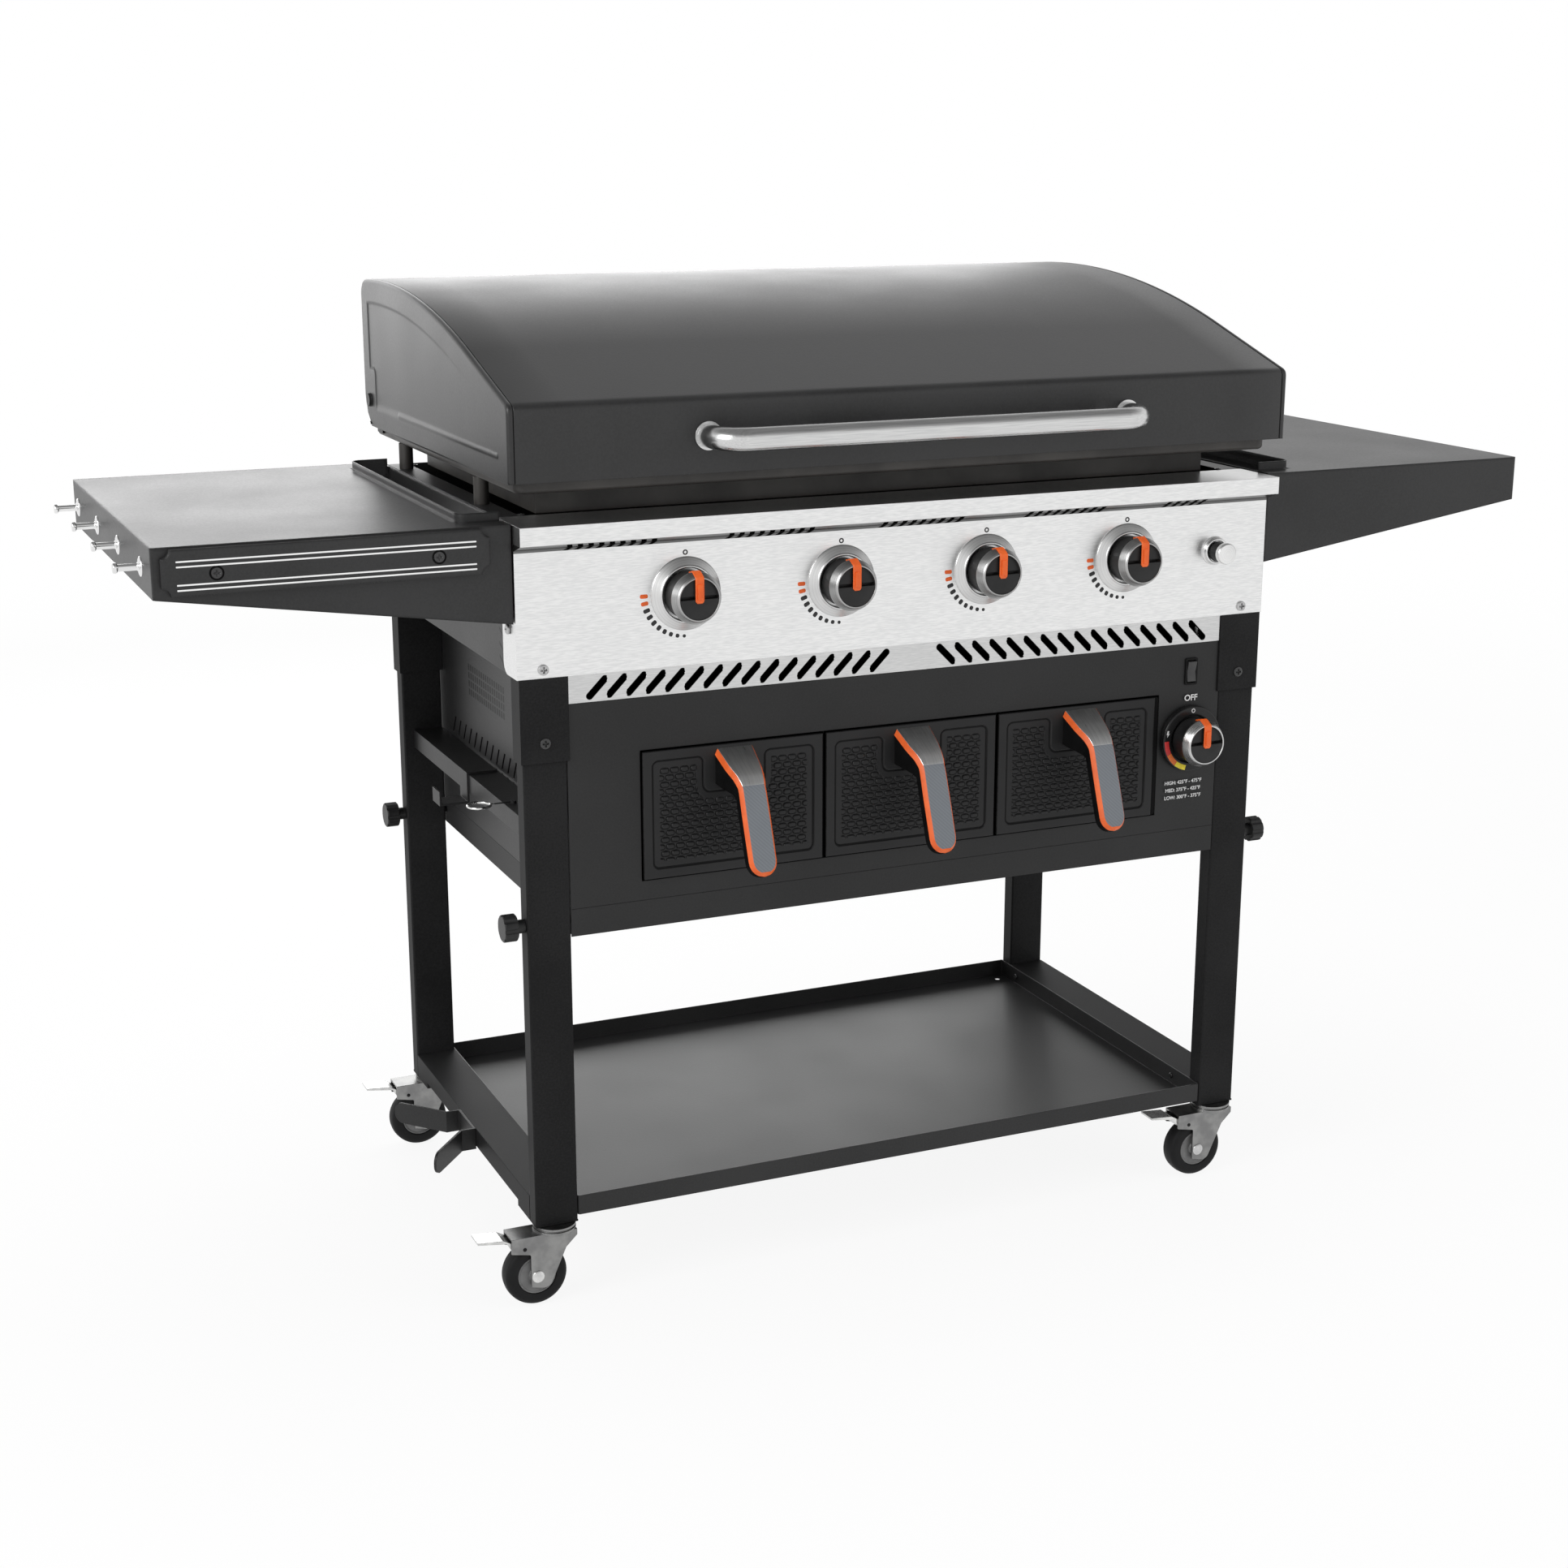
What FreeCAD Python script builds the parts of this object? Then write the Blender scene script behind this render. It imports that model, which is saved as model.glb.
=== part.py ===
import FreeCAD, Part
import math
import os
import Sketcher

from FreeCAD import Vector, Rotation, Placement

# Outdoor gas griddle station: a hooded griddle on a wheeled stand, with a three-drawer fryer
# below it and a work shelf on each side.
# Every piece is drawn in station coordinates: X from the middle plane of the stand, Y from the
# front face of the legs towards the back, Z up from the floor. Each finished piece is then
# placed so that the origin lies on the floor under the middle of the whole object.

doc = FreeCAD.newDocument("GriddleStation")
sheet = doc.addObject("Spreadsheet::Sheet", "Sizes")
pieces = []


class Size:
    """A length with the formula that gives it, so that a feature can be bound to it."""

    def __init__(self, value, formula):
        self.value = float(value)
        self.formula = formula

    def __add__(self, other):
        other = length(other)
        return Size(self.value + other.value, f"({self.formula} + {other.formula})")

    def __sub__(self, other):
        other = length(other)
        return Size(self.value - other.value, f"({self.formula} - {other.formula})")

    def __mul__(self, other):
        other = length(other)
        return Size(self.value * other.value, f"({self.formula} * {other.formula})")

    def __truediv__(self, other):
        other = length(other)
        return Size(self.value / other.value, f"({self.formula} / {other.formula})")

    def __radd__(self, other):
        return length(other) + self

    def __rsub__(self, other):
        return length(other) - self

    def __rmul__(self, other):
        return length(other) * self

    def __neg__(self):
        return Size(-self.value, f"(0 - {self.formula})")


def length(number):
    """Read a bare number as a Size."""
    if isinstance(number, Size):
        return number
    return Size(number, f"({float(number)!r})")


def square_root(number):
    """Take the square root of a Size."""
    return Size(math.sqrt(number.value), f"sqrt({number.formula})")


def size(alias, value):
    """Write one driving dimension into the sheet and give it back as a Size."""
    row = len(sheet.getUsedCells()) + 1
    sheet.set(f"A{row}", str(value))
    sheet.setAlias(f"A{row}", alias)
    return Size(value, f"Sizes.{alias}")


# Stand: four rectangular tube legs, side rails and a shelf tray.
leg_span = size("LegSpan", 940)
half = leg_span / 2
leg_width = size("LegWidth", 50.5)
leg_depth = size("LegDepth", 24)
wheel_radius = size("WheelRadius", 37.5)
wheel_room = size("WheelRoom", 11)
race_height = size("RaceHeight", 12)
fork_top = wheel_radius * 2 + wheel_room
leg_bottom = fork_top + race_height
leg_height = size("LegHeight", 636)
leg_top = leg_bottom + leg_height
box_seat = size("BoxSeat", 3)
cabinet_top = leg_top + box_seat
leg_wall = size("LegWall", 1.5)
leg_corner = size("LegCorner", 2.5)
stand_depth = size("StandDepth", 522.7)
socket_wall = size("SocketWall", 2.2)
socket_clearance = size("SocketClearance", 0.3)
socket_length = size("SocketLength", 94)
socket_bottom = cabinet_top - socket_length
rail_lift = size("RailLift", 5.5)
rail_bottom = leg_bottom + rail_lift
rail_height = size("RailHeight", 23.5)
rail_wall = size("RailWall", 1.5)
plate_thickness = size("CasterPlateThickness", 2)
plate_depth = size("CasterPlateDepth", 68)
tray_wall = size("TrayWall", 1.5)
tray_corner = size("TrayCorner", 3)
drain_radius = size("DrainRadius", 4)
drain_inset = size("DrainInset", 17)

# Casters.
wheel_width = size("WheelWidth", 24)
tyre_depth = size("TyreDepth", 14.5)
wheel_hub_radius = wheel_radius - tyre_depth
caster_trail = size("CasterTrail", 25.6)
swivel_radius = size("SwivelRadius", 25)
fork_gap = size("ForkGap", 1.2)
fork_sheet = size("ForkSheet", 2.5)
fork_nose_reach = size("ForkNoseReach", 30.4)
fork_nose = caster_trail + fork_nose_reach
fork_nose_height = size("ForkNoseHeight", 15.5)
fork_arm_height = size("ForkArmHeight", 19.5)
fork_corner_radius = size("ForkCornerRadius", 2.5)
fork_heel_reach = size("ForkHeelReach", 8)
fork_heel_drop = size("ForkHeelDrop", 12)
fork_toe_reach = size("ForkToeReach", 6)
fork_toe_drop = size("ForkToeDrop", 15)
fork_toe_radius = size("ForkToeRadius", 10)
fork_waist_reach = size("ForkWaistReach", 17)
fork_waist_drop = size("ForkWaistDrop", 8.5)
fork_shoulder_reach = size("ForkShoulderReach", 34.4)
fork_shoulder_rise = size("ForkShoulderRise", 30.7)
fork_rim_height = size("ForkRimHeight", 4.4)
axle_radius = size("AxleRadius", 4)
running_clearance = size("RunningClearance", 0.05)
play = size("Play", 0.3)
pedal_pivot_back = size("PedalPivotBack", 24.4)
pedal_pivot_reach = caster_trail + pedal_pivot_back
pedal_pivot_drop = size("PedalPivotDrop", 8)
pedal_tongue = size("PedalTongue", 39)
pedal_reach = fork_nose + pedal_tongue
pedal_pin_radius = size("PedalPinRadius", 2)

# Fryer cabinet between the legs.
cabinet_height = size("CabinetHeight", 297)
cabinet_bottom = cabinet_top - cabinet_height
base_height = size("FryerBaseHeight", 32)
cabinet_crease = cabinet_bottom + base_height
cabinet_wall = size("CabinetWall", 1.2)
cabinet_back_gap = size("CabinetBackGap", 2.7)
cabinet_depth = stand_depth - cabinet_back_gap
panel_gap = size("PanelGap", 2.8)
strip_height = size("VentStripHeight", 31)
strip_bottom = cabinet_top - strip_height
strip_proud = size("VentStripProud", 1)
vent_pitch = size("VentPitch", 22.7)
vent_first = size("VentFirst", 33.2)
vent_count = size("VentCount", 16)
vent_width = size("VentWidth", 6.5)
vent_length = size("VentLength", 31)
louvre_first = size("LouvreFirst", 56)
louvre_count = size("LouvreCount", 18)
louvre_drop = size("LouvreDrop", 135)
louvre_low = strip_bottom - louvre_drop
louvre_height = size("LouvreHeight", 22)
louvre_lean = size("LouvreLean", 13)
louvre_width = size("LouvreWidth", 4.5)
louvre_low_count = size("LouvreLowCount", 10)
drawer_side = size("DrawerSide", 135.05)
drawer_pitch = (leg_span - drawer_side * 2) / 3
drawer_rise = size("DrawerRise", 22.2)
drawer_bottom = cabinet_crease + drawer_rise
drawer_height = size("DrawerHeight", 151)
drawer_gap = size("DrawerGap", 3.4)
drawer_proud = size("DrawerProud", 1.5)
drawer_depth = size("DrawerDepth", 285)
drawer_sheet = size("DrawerSheet", 1.2)
basket_inset = size("BasketInset", 10)
basket_lift = size("BasketLift", 8)
basket_room = size("BasketRoom", 39)
basket_height = drawer_height - basket_room
bay_wall = size("BayWall", 1.2)
bay_room = size("BayRoom", 20)
runner_height = size("RunnerHeight", 5)

# Drawer handle, seen from the side and from the front.
handle_drop = size("HandleDrop", 5.2)
handle_top = drawer_bottom + drawer_height - handle_drop
handle_shoulder = size("HandleShoulder", 54.4)
handle_shoulder_drop = size("HandleShoulderDrop", 35)
handle_shoulder_height = handle_top - handle_shoulder_drop
handle_run = size("HandleRun", 40.1)
handle_reach = handle_shoulder + handle_run
handle_fall = size("HandleFall", 96)
handle_tip = handle_shoulder_height - handle_fall
handle_root_width = size("HandleRootWidth", 51)
handle_neck_width = size("HandleNeckWidth", 33)
handle_tip_width = size("HandleTipWidth", 37)
handle_thickness = size("HandleThickness", 14)
handle_root_foot = size("HandleRootFoot", 45)

# Burner box, front panel and knobs.
box_half_gap = size("BoxSideReach", 2.7)
box_wall = size("BoxWall", 1.2)
box_height = size("BoxHeight", 168)
box_top = cabinet_top + box_height
box_back_gap = size("BoxBackGap", 8.7)
box_depth = stand_depth - box_back_gap
box_flange = size("BoxFlange", 25)
panel_wall = size("PanelWall", 1.2)
panel_face = size("PanelFace", 2)
lip_height = size("LipHeight", 20)
lip_bevel = size("LipBevel", 8)
lip_bottom = box_top - lip_height
panel_bend = lip_bottom - lip_bevel
lip_reach = size("LipReach", 26)
panel_return = size("PanelReturn", 45)
firewall_gap = size("FirewallGap", 10.5)
firewall_place = panel_return + firewall_gap
panel_corner = size("PanelCorner", 14)
lip_slot_pitch = size("LipSlotPitch", 12)
lip_slot_width = size("LipSlotWidth", 6)
lip_slot_count = size("LipSlotCount", 9)
lip_slot_inset = size("LipSlotInset", 48.5)
lip_slot_first = lip_slot_inset - half
lip_group_pitch = size("LipGroupPitch", 186.2)
lip_group_count = size("LipGroupCount", 4)
lip_last_count = size("LipLastCount", 5)
knob_rise = size("KnobRise", 80.6)
knob_height = cabinet_top + knob_rise
knob_inner = size("KnobInner", 92)
knob_pitch = size("KnobPitch", 187.5)
knob_outer = knob_inner + knob_pitch
knob_radius = size("KnobRadius", 27)
knob_rim_radius = size("KnobRimRadius", 30)
knob_front = size("KnobFront", 36)
knob_travel = size("KnobTravel", 3)
knob_back = size("KnobBack", 8)
bezel_radius = size("BezelRadius", 41)
bezel_inner = size("BezelInner", 29)
bezel_height = size("BezelHeight", 8.5)
stem_rod_radius = size("StemRodRadius", 4)
fryer_knob_inset = size("FryerKnobInset", 91)
fryer_knob_x = half - fryer_knob_inset
fryer_knob_drop = size("FryerKnobDrop", 118)
fryer_knob_height = strip_bottom - fryer_knob_drop
igniter_inset = size("IgniterInset", 67)
igniter_x = half - igniter_inset
igniter_radius = size("IgniterRadius", 12.7)
igniter_front = size("IgniterFront", 31)
igniter_travel = size("IgniterTravel", 5)
igniter_bezel_radius = size("IgniterBezelRadius", 17)
switch_inset = size("SwitchInset", 91.5)
switch_x = half - switch_inset
switch_drop = size("SwitchDrop", 35)
switch_height = strip_bottom - switch_drop
switch_width = size("SwitchWidth", 17)
switch_length = size("SwitchLength", 33)
switch_pin = size("SwitchPinRadius", 1.5)
switch_pivot = size("SwitchPivotDepth", 3)

# Gas train.
valve_size = size("ValveSize", 28)
valve_place = size("ValvePlace", 16)
manifold_radius = size("ManifoldRadius", 9)
manifold_drop = size("ManifoldDrop", 23)
burner_radius = size("BurnerRadius", 17)
burner_neck = size("BurnerNeck", 11)
burner_tongue = size("BurnerTongue", 44)
burner_end = box_depth - burner_tongue
riser_inset = size("RiserInset", 66)
riser_x = half - riser_inset
riser_radius = size("RiserRadius", 6)
inlet_drop = size("InletDrop", 68)
inlet_height = fryer_knob_height - inlet_drop
inlet_reach = size("InletReach", 22)
inlet_radius = size("InletRadius", 8)
fryer_burner_place = size("FryerBurnerPlace", 150)
fryer_burner_gap = size("FryerBurnerGap", 14.2)

# Griddle plate.
plate_side_gap = size("PlateSideGap", 0.6)
plate_span = leg_span - plate_side_gap * 2
plate_front = size("PlateFront", 2.3)
plate_overhang = size("PlateOverhang", 60)
plate_back = box_depth + plate_overhang
post_height = size("PostHeight", 31)
plate_bottom = box_top + post_height
plate_steel = size("PlateSteel", 5)
rim_height = size("RimHeight", 14)
rim_wall = size("RimWall", 6)
rim_corner = size("RimCorner", 12)
rim_edge = size("RimEdge", 5)
splash_height = size("SplashHeight", 42)
splash_wall = size("SplashWall", 3)
splash_inset = size("SplashInset", 16)
splash_back = plate_back - splash_inset
splash_front = size("SplashFront", 40)
skirt_inset = size("SkirtInset", 44)
skirt_front_gap = size("SkirtFrontGap", 14.5)
skirt_front = firewall_place + skirt_front_gap
skirt_back_gap = size("SkirtBackGap", 14)
skirt_back = box_depth - skirt_back_gap
skirt_dip = size("SkirtDip", 1)
skirt_bottom = box_top - skirt_dip
skirt_wall = size("SkirtWall", 2)
post_radius = size("PostRadius", 8.5)
post_inset = size("PostInset", 9)
post_front = size("PostFront", 155)
post_back_inset = size("PostBackInset", 45)
post_back = box_depth - post_back_inset
grease_inset = size("GreaseInset", 140)
grease_x = half - grease_inset
grease_width = size("GreaseWidth", 64)
grease_slot = size("GreaseSlot", 14)
cup_depth = size("CupDepth", 48)
cup_height = size("CupHeight", 74)
cup_width = size("CupWidth", 120)
cup_wall = size("CupWall", 1.2)

# Hood.
hood_side = size("HoodSide", 12.5)
hood_half = half + hood_side
hood_front = size("HoodFront", 19.5)
hood_bottom = plate_bottom + rim_height
hood_wall = size("HoodWall", 1.2)
hood_back_inset = size("HoodBackInset", 2)
hood_back = plate_back - hood_back_inset
hood_apex_inset = size("HoodApexInset", 82)
hood_apex_place = hood_back - hood_apex_inset
hood_arc_run = size("HoodArcRun", 360)
hood_bend = hood_apex_place - hood_arc_run
hood_rise = size("HoodRise", 180)
hood_apex = hood_bottom + hood_rise
hood_arc = size("HoodArc", 1240)
hood_rear_corner = size("HoodRearCorner", 20)
hood_front_corner = size("HoodFrontCorner", 10)
hood_rear_lift = size("HoodRearLift", 57)
hood_rear_bottom = hood_bottom + hood_rear_lift
hood_cap_width = size("HoodCapWidth", 14)
hood_chamfer = size("HoodChamfer", 12)
hinge_inset = size("HingeInset", 27)
hinge_place = hood_back - hinge_inset
hinge_lift = size("HingeLift", 32)
hinge_height = hood_bottom + hinge_lift
hinge_pin_radius = size("HingePinRadius", 4)
hinge_plate = size("HingePlate", 2.5)
bar_radius = size("BarRadius", 12.7)
bar_span = size("BarSpan", 260)
bar_standoff = size("BarStandoff", 51.5)
bar_place = hood_front + bar_standoff
bar_lift = size("BarLift", 41)
bar_height = hood_bottom + bar_lift
bar_bend = size("BarBend", 30)
bar_flange_radius = size("BarFlangeRadius", 15.5)
bar_flange_width = size("BarFlangeWidth", 6)

# Side shelves and what hangs on them.
shelf_reach = size("ShelfReach", 380)
shelf_gap = size("ShelfGap", 6)
shelf_step = size("ShelfStep", 1)
shelf_top = box_top + shelf_step
shelf_edge = size("ShelfEdge", 53)
shelf_inner_edge = size("ShelfInnerEdge", 107.5)
shelf_front = size("ShelfFront", 0.7)
shelf_overhang = size("ShelfOverhang", 5.6)
shelf_back = stand_depth + shelf_overhang
shelf_wall = size("ShelfWall", 1.2)
shelf_corner = size("ShelfCorner", 3)
guard_reach = size("GuardReach", 56)
guard_front = size("GuardFront", 26)
guard_back_inset = size("GuardBackInset", 41.3)
guard_back = shelf_back - guard_back_inset
guard_end = size("GuardEnd", 10)
guard_rise = size("GuardRise", 10)
guard_depth = size("GuardDepth", 12)
guard_wall = size("GuardWall", 1.5)
guard_corner = size("GuardCorner", 12)
hook_drop = size("HookDrop", 28.4)
hook_height = shelf_top - hook_drop
hook_reach = size("HookReach", 28.3)
hook_first = size("HookFirst", 62.8)
hook_pitch = size("HookPitch", 143.3)
hook_count = size("HookCount", 4)
hook_rod = size("HookRod", 2.5)
hook_bead = size("HookBead", 4.5)
hook_flange = size("HookFlange", 8)
tool_bar_inner = size("ToolBarInner", 31)
tool_bar_end_gap = size("ToolBarEndGap", 8.5)
tool_bar_outer = shelf_reach - tool_bar_end_gap
tool_bar_drop = size("ToolBarDrop", 2)
tool_bar_top = shelf_top - tool_bar_drop
tool_bar_height = size("ToolBarHeight", 48)
tool_bar_bottom = tool_bar_top - tool_bar_height
tool_bar_depth = size("ToolBarDepth", 7)
tool_bar_notch = size("ToolBarNotch", 9)

# Gas tank hanger, on the left between the legs.
tank_rail_inset = size("TankRailInset", 13)
tank_rail_drop = size("TankRailDrop", 169)
tank_rail_top = cabinet_top - tank_rail_drop
tank_rail_height = size("TankRailHeight", 23)
tank_hook_place = size("TankHookPlace", 256)
tank_hook_width = size("TankHookWidth", 30)
tank_hook_sheet = size("TankHookSheet", 2.5)
tank_hook_drop = size("TankHookDrop", 35)
tank_hook_low = tank_rail_top - tank_hook_drop
tank_hook_reach = size("TankHookReach", 34)
tank_hook_rise = size("TankHookRise", 17)
tank_hook_tip = tank_hook_low + tank_hook_rise
cradle_front = size("CradleFront", 234)
cradle_width = size("CradleWidth", 66)
cradle_back = cradle_front + cradle_width
cradle_tab = size("CradleTab", 18)
cradle_wing_reach = size("CradleWingReach", 67)
cradle_wing_spread = size("CradleWingSpread", 58)
cradle_sheet = size("CradleSheet", 3)
cradle_drop = size("CradleDrop", 3.5)
cradle_bottom = rail_bottom - cradle_drop
cradle_round = size("CradleRound", 12)
ring_radius = size("RingRadius", 13)
ring_wire = size("RingWire", 1.6)
ring_reach = size("RingReach", 16.5)
ring_place = size("RingPlace", 116)
ring_pin_inset = size("RingPinInset", 24)

# Hand knobs and screws.
hand_knob_radius = size("HandKnobRadius", 15.5)
hand_knob_width = size("HandKnobWidth", 16)
hand_knob_neck = size("HandKnobNeck", 10)
hand_knob_rise = size("HandKnobRise", 16)
hand_knob_height = cabinet_bottom + hand_knob_rise
flute_radius = size("FluteRadius", 3.5)
flute_count = size("FluteCount", 8)
screw_head = size("ScrewHead", 6)
screw_rise = size("ScrewRise", 2.2)

# Widths that several pieces share, measured from the middle plane.
leg_inner = half - leg_width
cabinet_half = leg_inner - panel_gap
box_half = half + box_half_gap
panel_half = box_half + socket_clearance + panel_wall
shelf_inner = half + shelf_gap
shelf_outer = half + shelf_reach
drawer_half = drawer_pitch * 1.5
rear_leg_front = stand_depth - leg_depth
leg_middle = leg_depth / 2

# The whole object reaches from the hook tips to the right shelf, and from the drawer handles
# to the back of the griddle plate, so this is where the stand's own zero lies from the origin.
stand_x = hook_reach / 2
stand_y = (handle_reach - plate_back) / 2


def bind(thing, name, value):
    """Bind a property to a Size."""
    thing.setExpression(name, length(value).formula)


def put(thing, x, y, z):
    """Place an object, with its position bound to the sizes."""
    for axis, value in zip("xyz", (x, y, z)):
        bind(thing, f"Placement.Base.{axis}", value)
    return thing


def finish(thing, label, x=0, y=0, z=0):
    """Name a finished sub-part and move it from station coordinates to the origin."""
    thing.Label = label
    pieces.append(thing)
    return put(thing, x + stand_x, y + stand_y, z)


def block(name, x, y, z):
    """Make a box between two X, two Y and two Z places."""
    solid = doc.addObject("Part::Box", name)
    for side, (low, high) in zip(("Length", "Width", "Height"), (x, y, z)):
        bind(solid, side, length(high) - low)
    return put(solid, x[0], y[0], z[0])


def rod(name, axis, centre, radius, low, high):
    """Make a round bar along an axis; centre gives its two other coordinates in order."""
    solid = doc.addObject("Part::Cylinder", name)
    bind(solid, "Radius", radius)
    bind(solid, "Height", length(high) - low)
    if axis == "X":
        solid.Placement = Placement(Vector(), Rotation(Vector(0, 1, 0), 90))
        return put(solid, low, centre[0], centre[1])
    if axis == "Y":
        solid.Placement = Placement(Vector(), Rotation(Vector(1, 0, 0), -90))
        return put(solid, centre[0], low, centre[1])
    return put(solid, centre[0], centre[1], low)


def cone(name, axis, centre, radii, low, high):
    """Make a cone along X or Y with its radius at the low end and at the high end."""
    solid = doc.addObject("Part::Cone", name)
    bind(solid, "Radius1", radii[0])
    bind(solid, "Radius2", radii[1])
    bind(solid, "Height", length(high) - low)
    if axis == "X":
        solid.Placement = Placement(Vector(), Rotation(Vector(0, 1, 0), 90))
        return put(solid, low, centre[0], centre[1])
    solid.Placement = Placement(Vector(), Rotation(Vector(1, 0, 0), -90))
    return put(solid, centre[0], low, centre[1])


def ball(name, centre, radius):
    """Make a sphere."""
    solid = doc.addObject("Part::Sphere", name)
    bind(solid, "Radius", radius)
    return put(solid, *centre)


def fuse(name, shapes):
    """Join solids that touch into one."""
    joined = doc.addObject("Part::MultiFuse", name)
    joined.Shapes = shapes
    joined.Refine = True
    return joined


def group(name, shapes):
    """Keep separate solids together in one object."""
    whole = doc.addObject("Part::Compound", name)
    whole.Links = shapes
    return whole


def cut(name, base, tools):
    """Take tools, which don't overlap each other, away from a base."""
    rest = doc.addObject("Part::Cut", name)
    rest.Base = base
    rest.Tool = tools[0] if len(tools) == 1 else group(f"{name}Tools", tools)
    return rest


def body(name):
    """Start a body."""
    return doc.addObject("PartDesign::Body", name)


def plane_of(owner, plane):
    """Find an origin plane of a body by its role."""
    return next(item for item in owner.Origin.OriginFeatures if item.Role == f"{plane}_Plane")


def circle(x, y, radius):
    """Describe a full circle of a sketch."""
    return ("circle", x, y, radius)


def draw(owner, plane, loops, place, closed=True):
    """Draw a sketch on an origin plane, moved along its normal to a place.

    A loop is a circle or a list of points. A third value in a point makes the edge to the next
    point an arc of that radius, counter-clockwise if positive and clockwise if negative.
    """
    sketch = owner.newObject("Sketcher::SketchObject", f"{owner.Name}Sketch")
    sketch.AttachmentSupport = [(plane_of(owner, plane), "")]
    sketch.MapMode = "FlatFace"
    normal = -length(place) if plane == "XZ" else length(place)
    bind(sketch, "AttachmentOffset.Base.z", normal)
    for loop in loops:
        if loop[0] == "circle":
            draw_circle(sketch, *loop[1:])
        else:
            draw_loop(sketch, loop, closed)
    return sketch


def fix(sketch, kind, where, value):
    """Add one bound dimension to a sketch."""
    number = sketch.addConstraint(Sketcher.Constraint(kind, *where, length(value).value))
    sketch.setExpression(f"Constraints[{number}]", length(value).formula)


def draw_circle(sketch, x, y, radius):
    """Add a circle with a bound centre and radius."""
    centre = Vector(length(x).value, length(y).value, 0)
    edge = sketch.addGeometry(Part.Circle(centre, Vector(0, 0, 1), length(radius).value), False)
    fix(sketch, "DistanceX", (edge, 3), x)
    fix(sketch, "DistanceY", (edge, 3), y)
    fix(sketch, "Radius", (edge,), radius)


def arc_through(start, end, radius):
    """Make the short arc between two points; a positive radius turns counter-clockwise."""
    chord = end - start
    height = math.sqrt(max(radius * radius - chord.Length ** 2 / 4, 0))
    left = Vector(-chord.y, chord.x, 0).normalize()
    centre = (start + end) / 2 + left * math.copysign(height, radius)
    first, last = (start, end) if radius > 0 else (end, start)
    angles = [math.atan2(point.y - centre.y, point.x - centre.x) for point in (first, last)]
    return Part.ArcOfCircle(Part.Circle(centre, Vector(0, 0, 1), abs(radius)), *angles)


def draw_loop(sketch, points, closed):
    """Add a chain of lines and arcs, each corner with bound coordinates."""
    corners = [Vector(length(point[0]).value, length(point[1]).value, 0) for point in points]
    count = len(points) if closed else len(points) - 1
    ends = []
    for number in range(count):
        start = corners[number]
        end = corners[(number + 1) % len(corners)]
        if len(points[number]) == 3:
            radius = length(points[number][2])
            edge = sketch.addGeometry(arc_through(start, end, radius.value), False)
            sign = 1 if radius.value > 0 else -1
            fix(sketch, "Radius", (edge,), radius * sign)
            ends.append((edge, 1, 2) if radius.value > 0 else (edge, 2, 1))
        else:
            edge = sketch.addGeometry(Part.LineSegment(start, end), False)
            ends.append((edge, 1, 2))
    for number in range(count):
        edge, first, last = ends[number]
        fix(sketch, "DistanceX", (edge, first), points[number][0])
        fix(sketch, "DistanceY", (edge, first), points[number][1])
        if closed or number < count - 1:
            following = ends[(number + 1) % count]
            join = Sketcher.Constraint("Coincident", edge, last, following[0], following[1])
            sketch.addConstraint(join)
    if not closed:
        edge, first, last = ends[-1]
        fix(sketch, "DistanceX", (edge, last), points[-1][0])
        fix(sketch, "DistanceY", (edge, last), points[-1][1])


def rectangle(x, y):
    """Give the corners of a rectangle between two places each way."""
    return [(x[0], y[0]), (x[1], y[0]), (x[1], y[1]), (x[0], y[1])]


def rounded(x, y, radius):
    """Give a rectangle with rounded corners."""
    (left, right), (low, high) = x, y
    return [
        (left + radius, low), (right - radius, low, radius),
        (right, low + radius), (right, high - radius, radius),
        (right - radius, high), (left + radius, high, radius),
        (left, high - radius), (left, low + radius, radius),
    ]


def pad(owner, plane, loops, low, high):
    """Add material between two places along a plane's own axis."""
    start = high if plane == "XZ" else low
    feature = owner.newObject("PartDesign::Pad", f"{owner.Name}Pad")
    feature.Profile = draw(owner, plane, loops, start)
    bind(feature, "Length", length(high) - low)
    doc.recompute()
    return feature


def pocket(owner, plane, loops, low, high):
    """Take material away between two places, and check that something was cut."""
    before = owner.Shape.Volume
    start = low if plane == "XZ" else high
    feature = owner.newObject("PartDesign::Pocket", f"{owner.Name}Pocket")
    feature.Profile = draw(owner, plane, loops, start)
    bind(feature, "Length", length(high) - low)
    doc.recompute()
    if owner.Shape.Volume > before - 1e-3:
        raise ValueError(f"{feature.Name} cuts nothing")
    return feature


def row(owner, feature, axis, step, count, backwards=False):
    """Repeat a feature in a row along an axis of its own sketch."""
    pattern = owner.newObject("PartDesign::LinearPattern", f"{owner.Name}Row")
    pattern.Originals = [feature]
    pattern.Direction = (feature.Profile[0], [axis])
    pattern.Reversed = backwards
    bind(pattern, "Length", step * (count - 1))
    bind(pattern, "Occurrences", count)
    owner.Tip = pattern
    doc.recompute()
    return pattern


def round_edges(owner, radius, wanted):
    """Round the edges of a body that a test picks."""
    tip = owner.Tip
    names = [f"Edge{number}" for number, edge in enumerate(tip.Shape.Edges, 1) if wanted(edge)]
    feature = owner.newObject("PartDesign::Fillet", f"{owner.Name}Fillet")
    feature.Base = (tip, names)
    bind(feature, "Radius", radius)
    doc.recompute()
    return feature


def along(axis):
    """Make a test for straight edges that run along an axis."""
    direction = {"X": Vector(1, 0, 0), "Y": Vector(0, 1, 0), "Z": Vector(0, 0, 1)}[axis]

    def test(edge):
        if edge.Curve.TypeId != "Part::GeomLine":
            return False
        return abs(abs(edge.Curve.Direction.dot(direction)) - 1) < 1e-6
    return test


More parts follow.
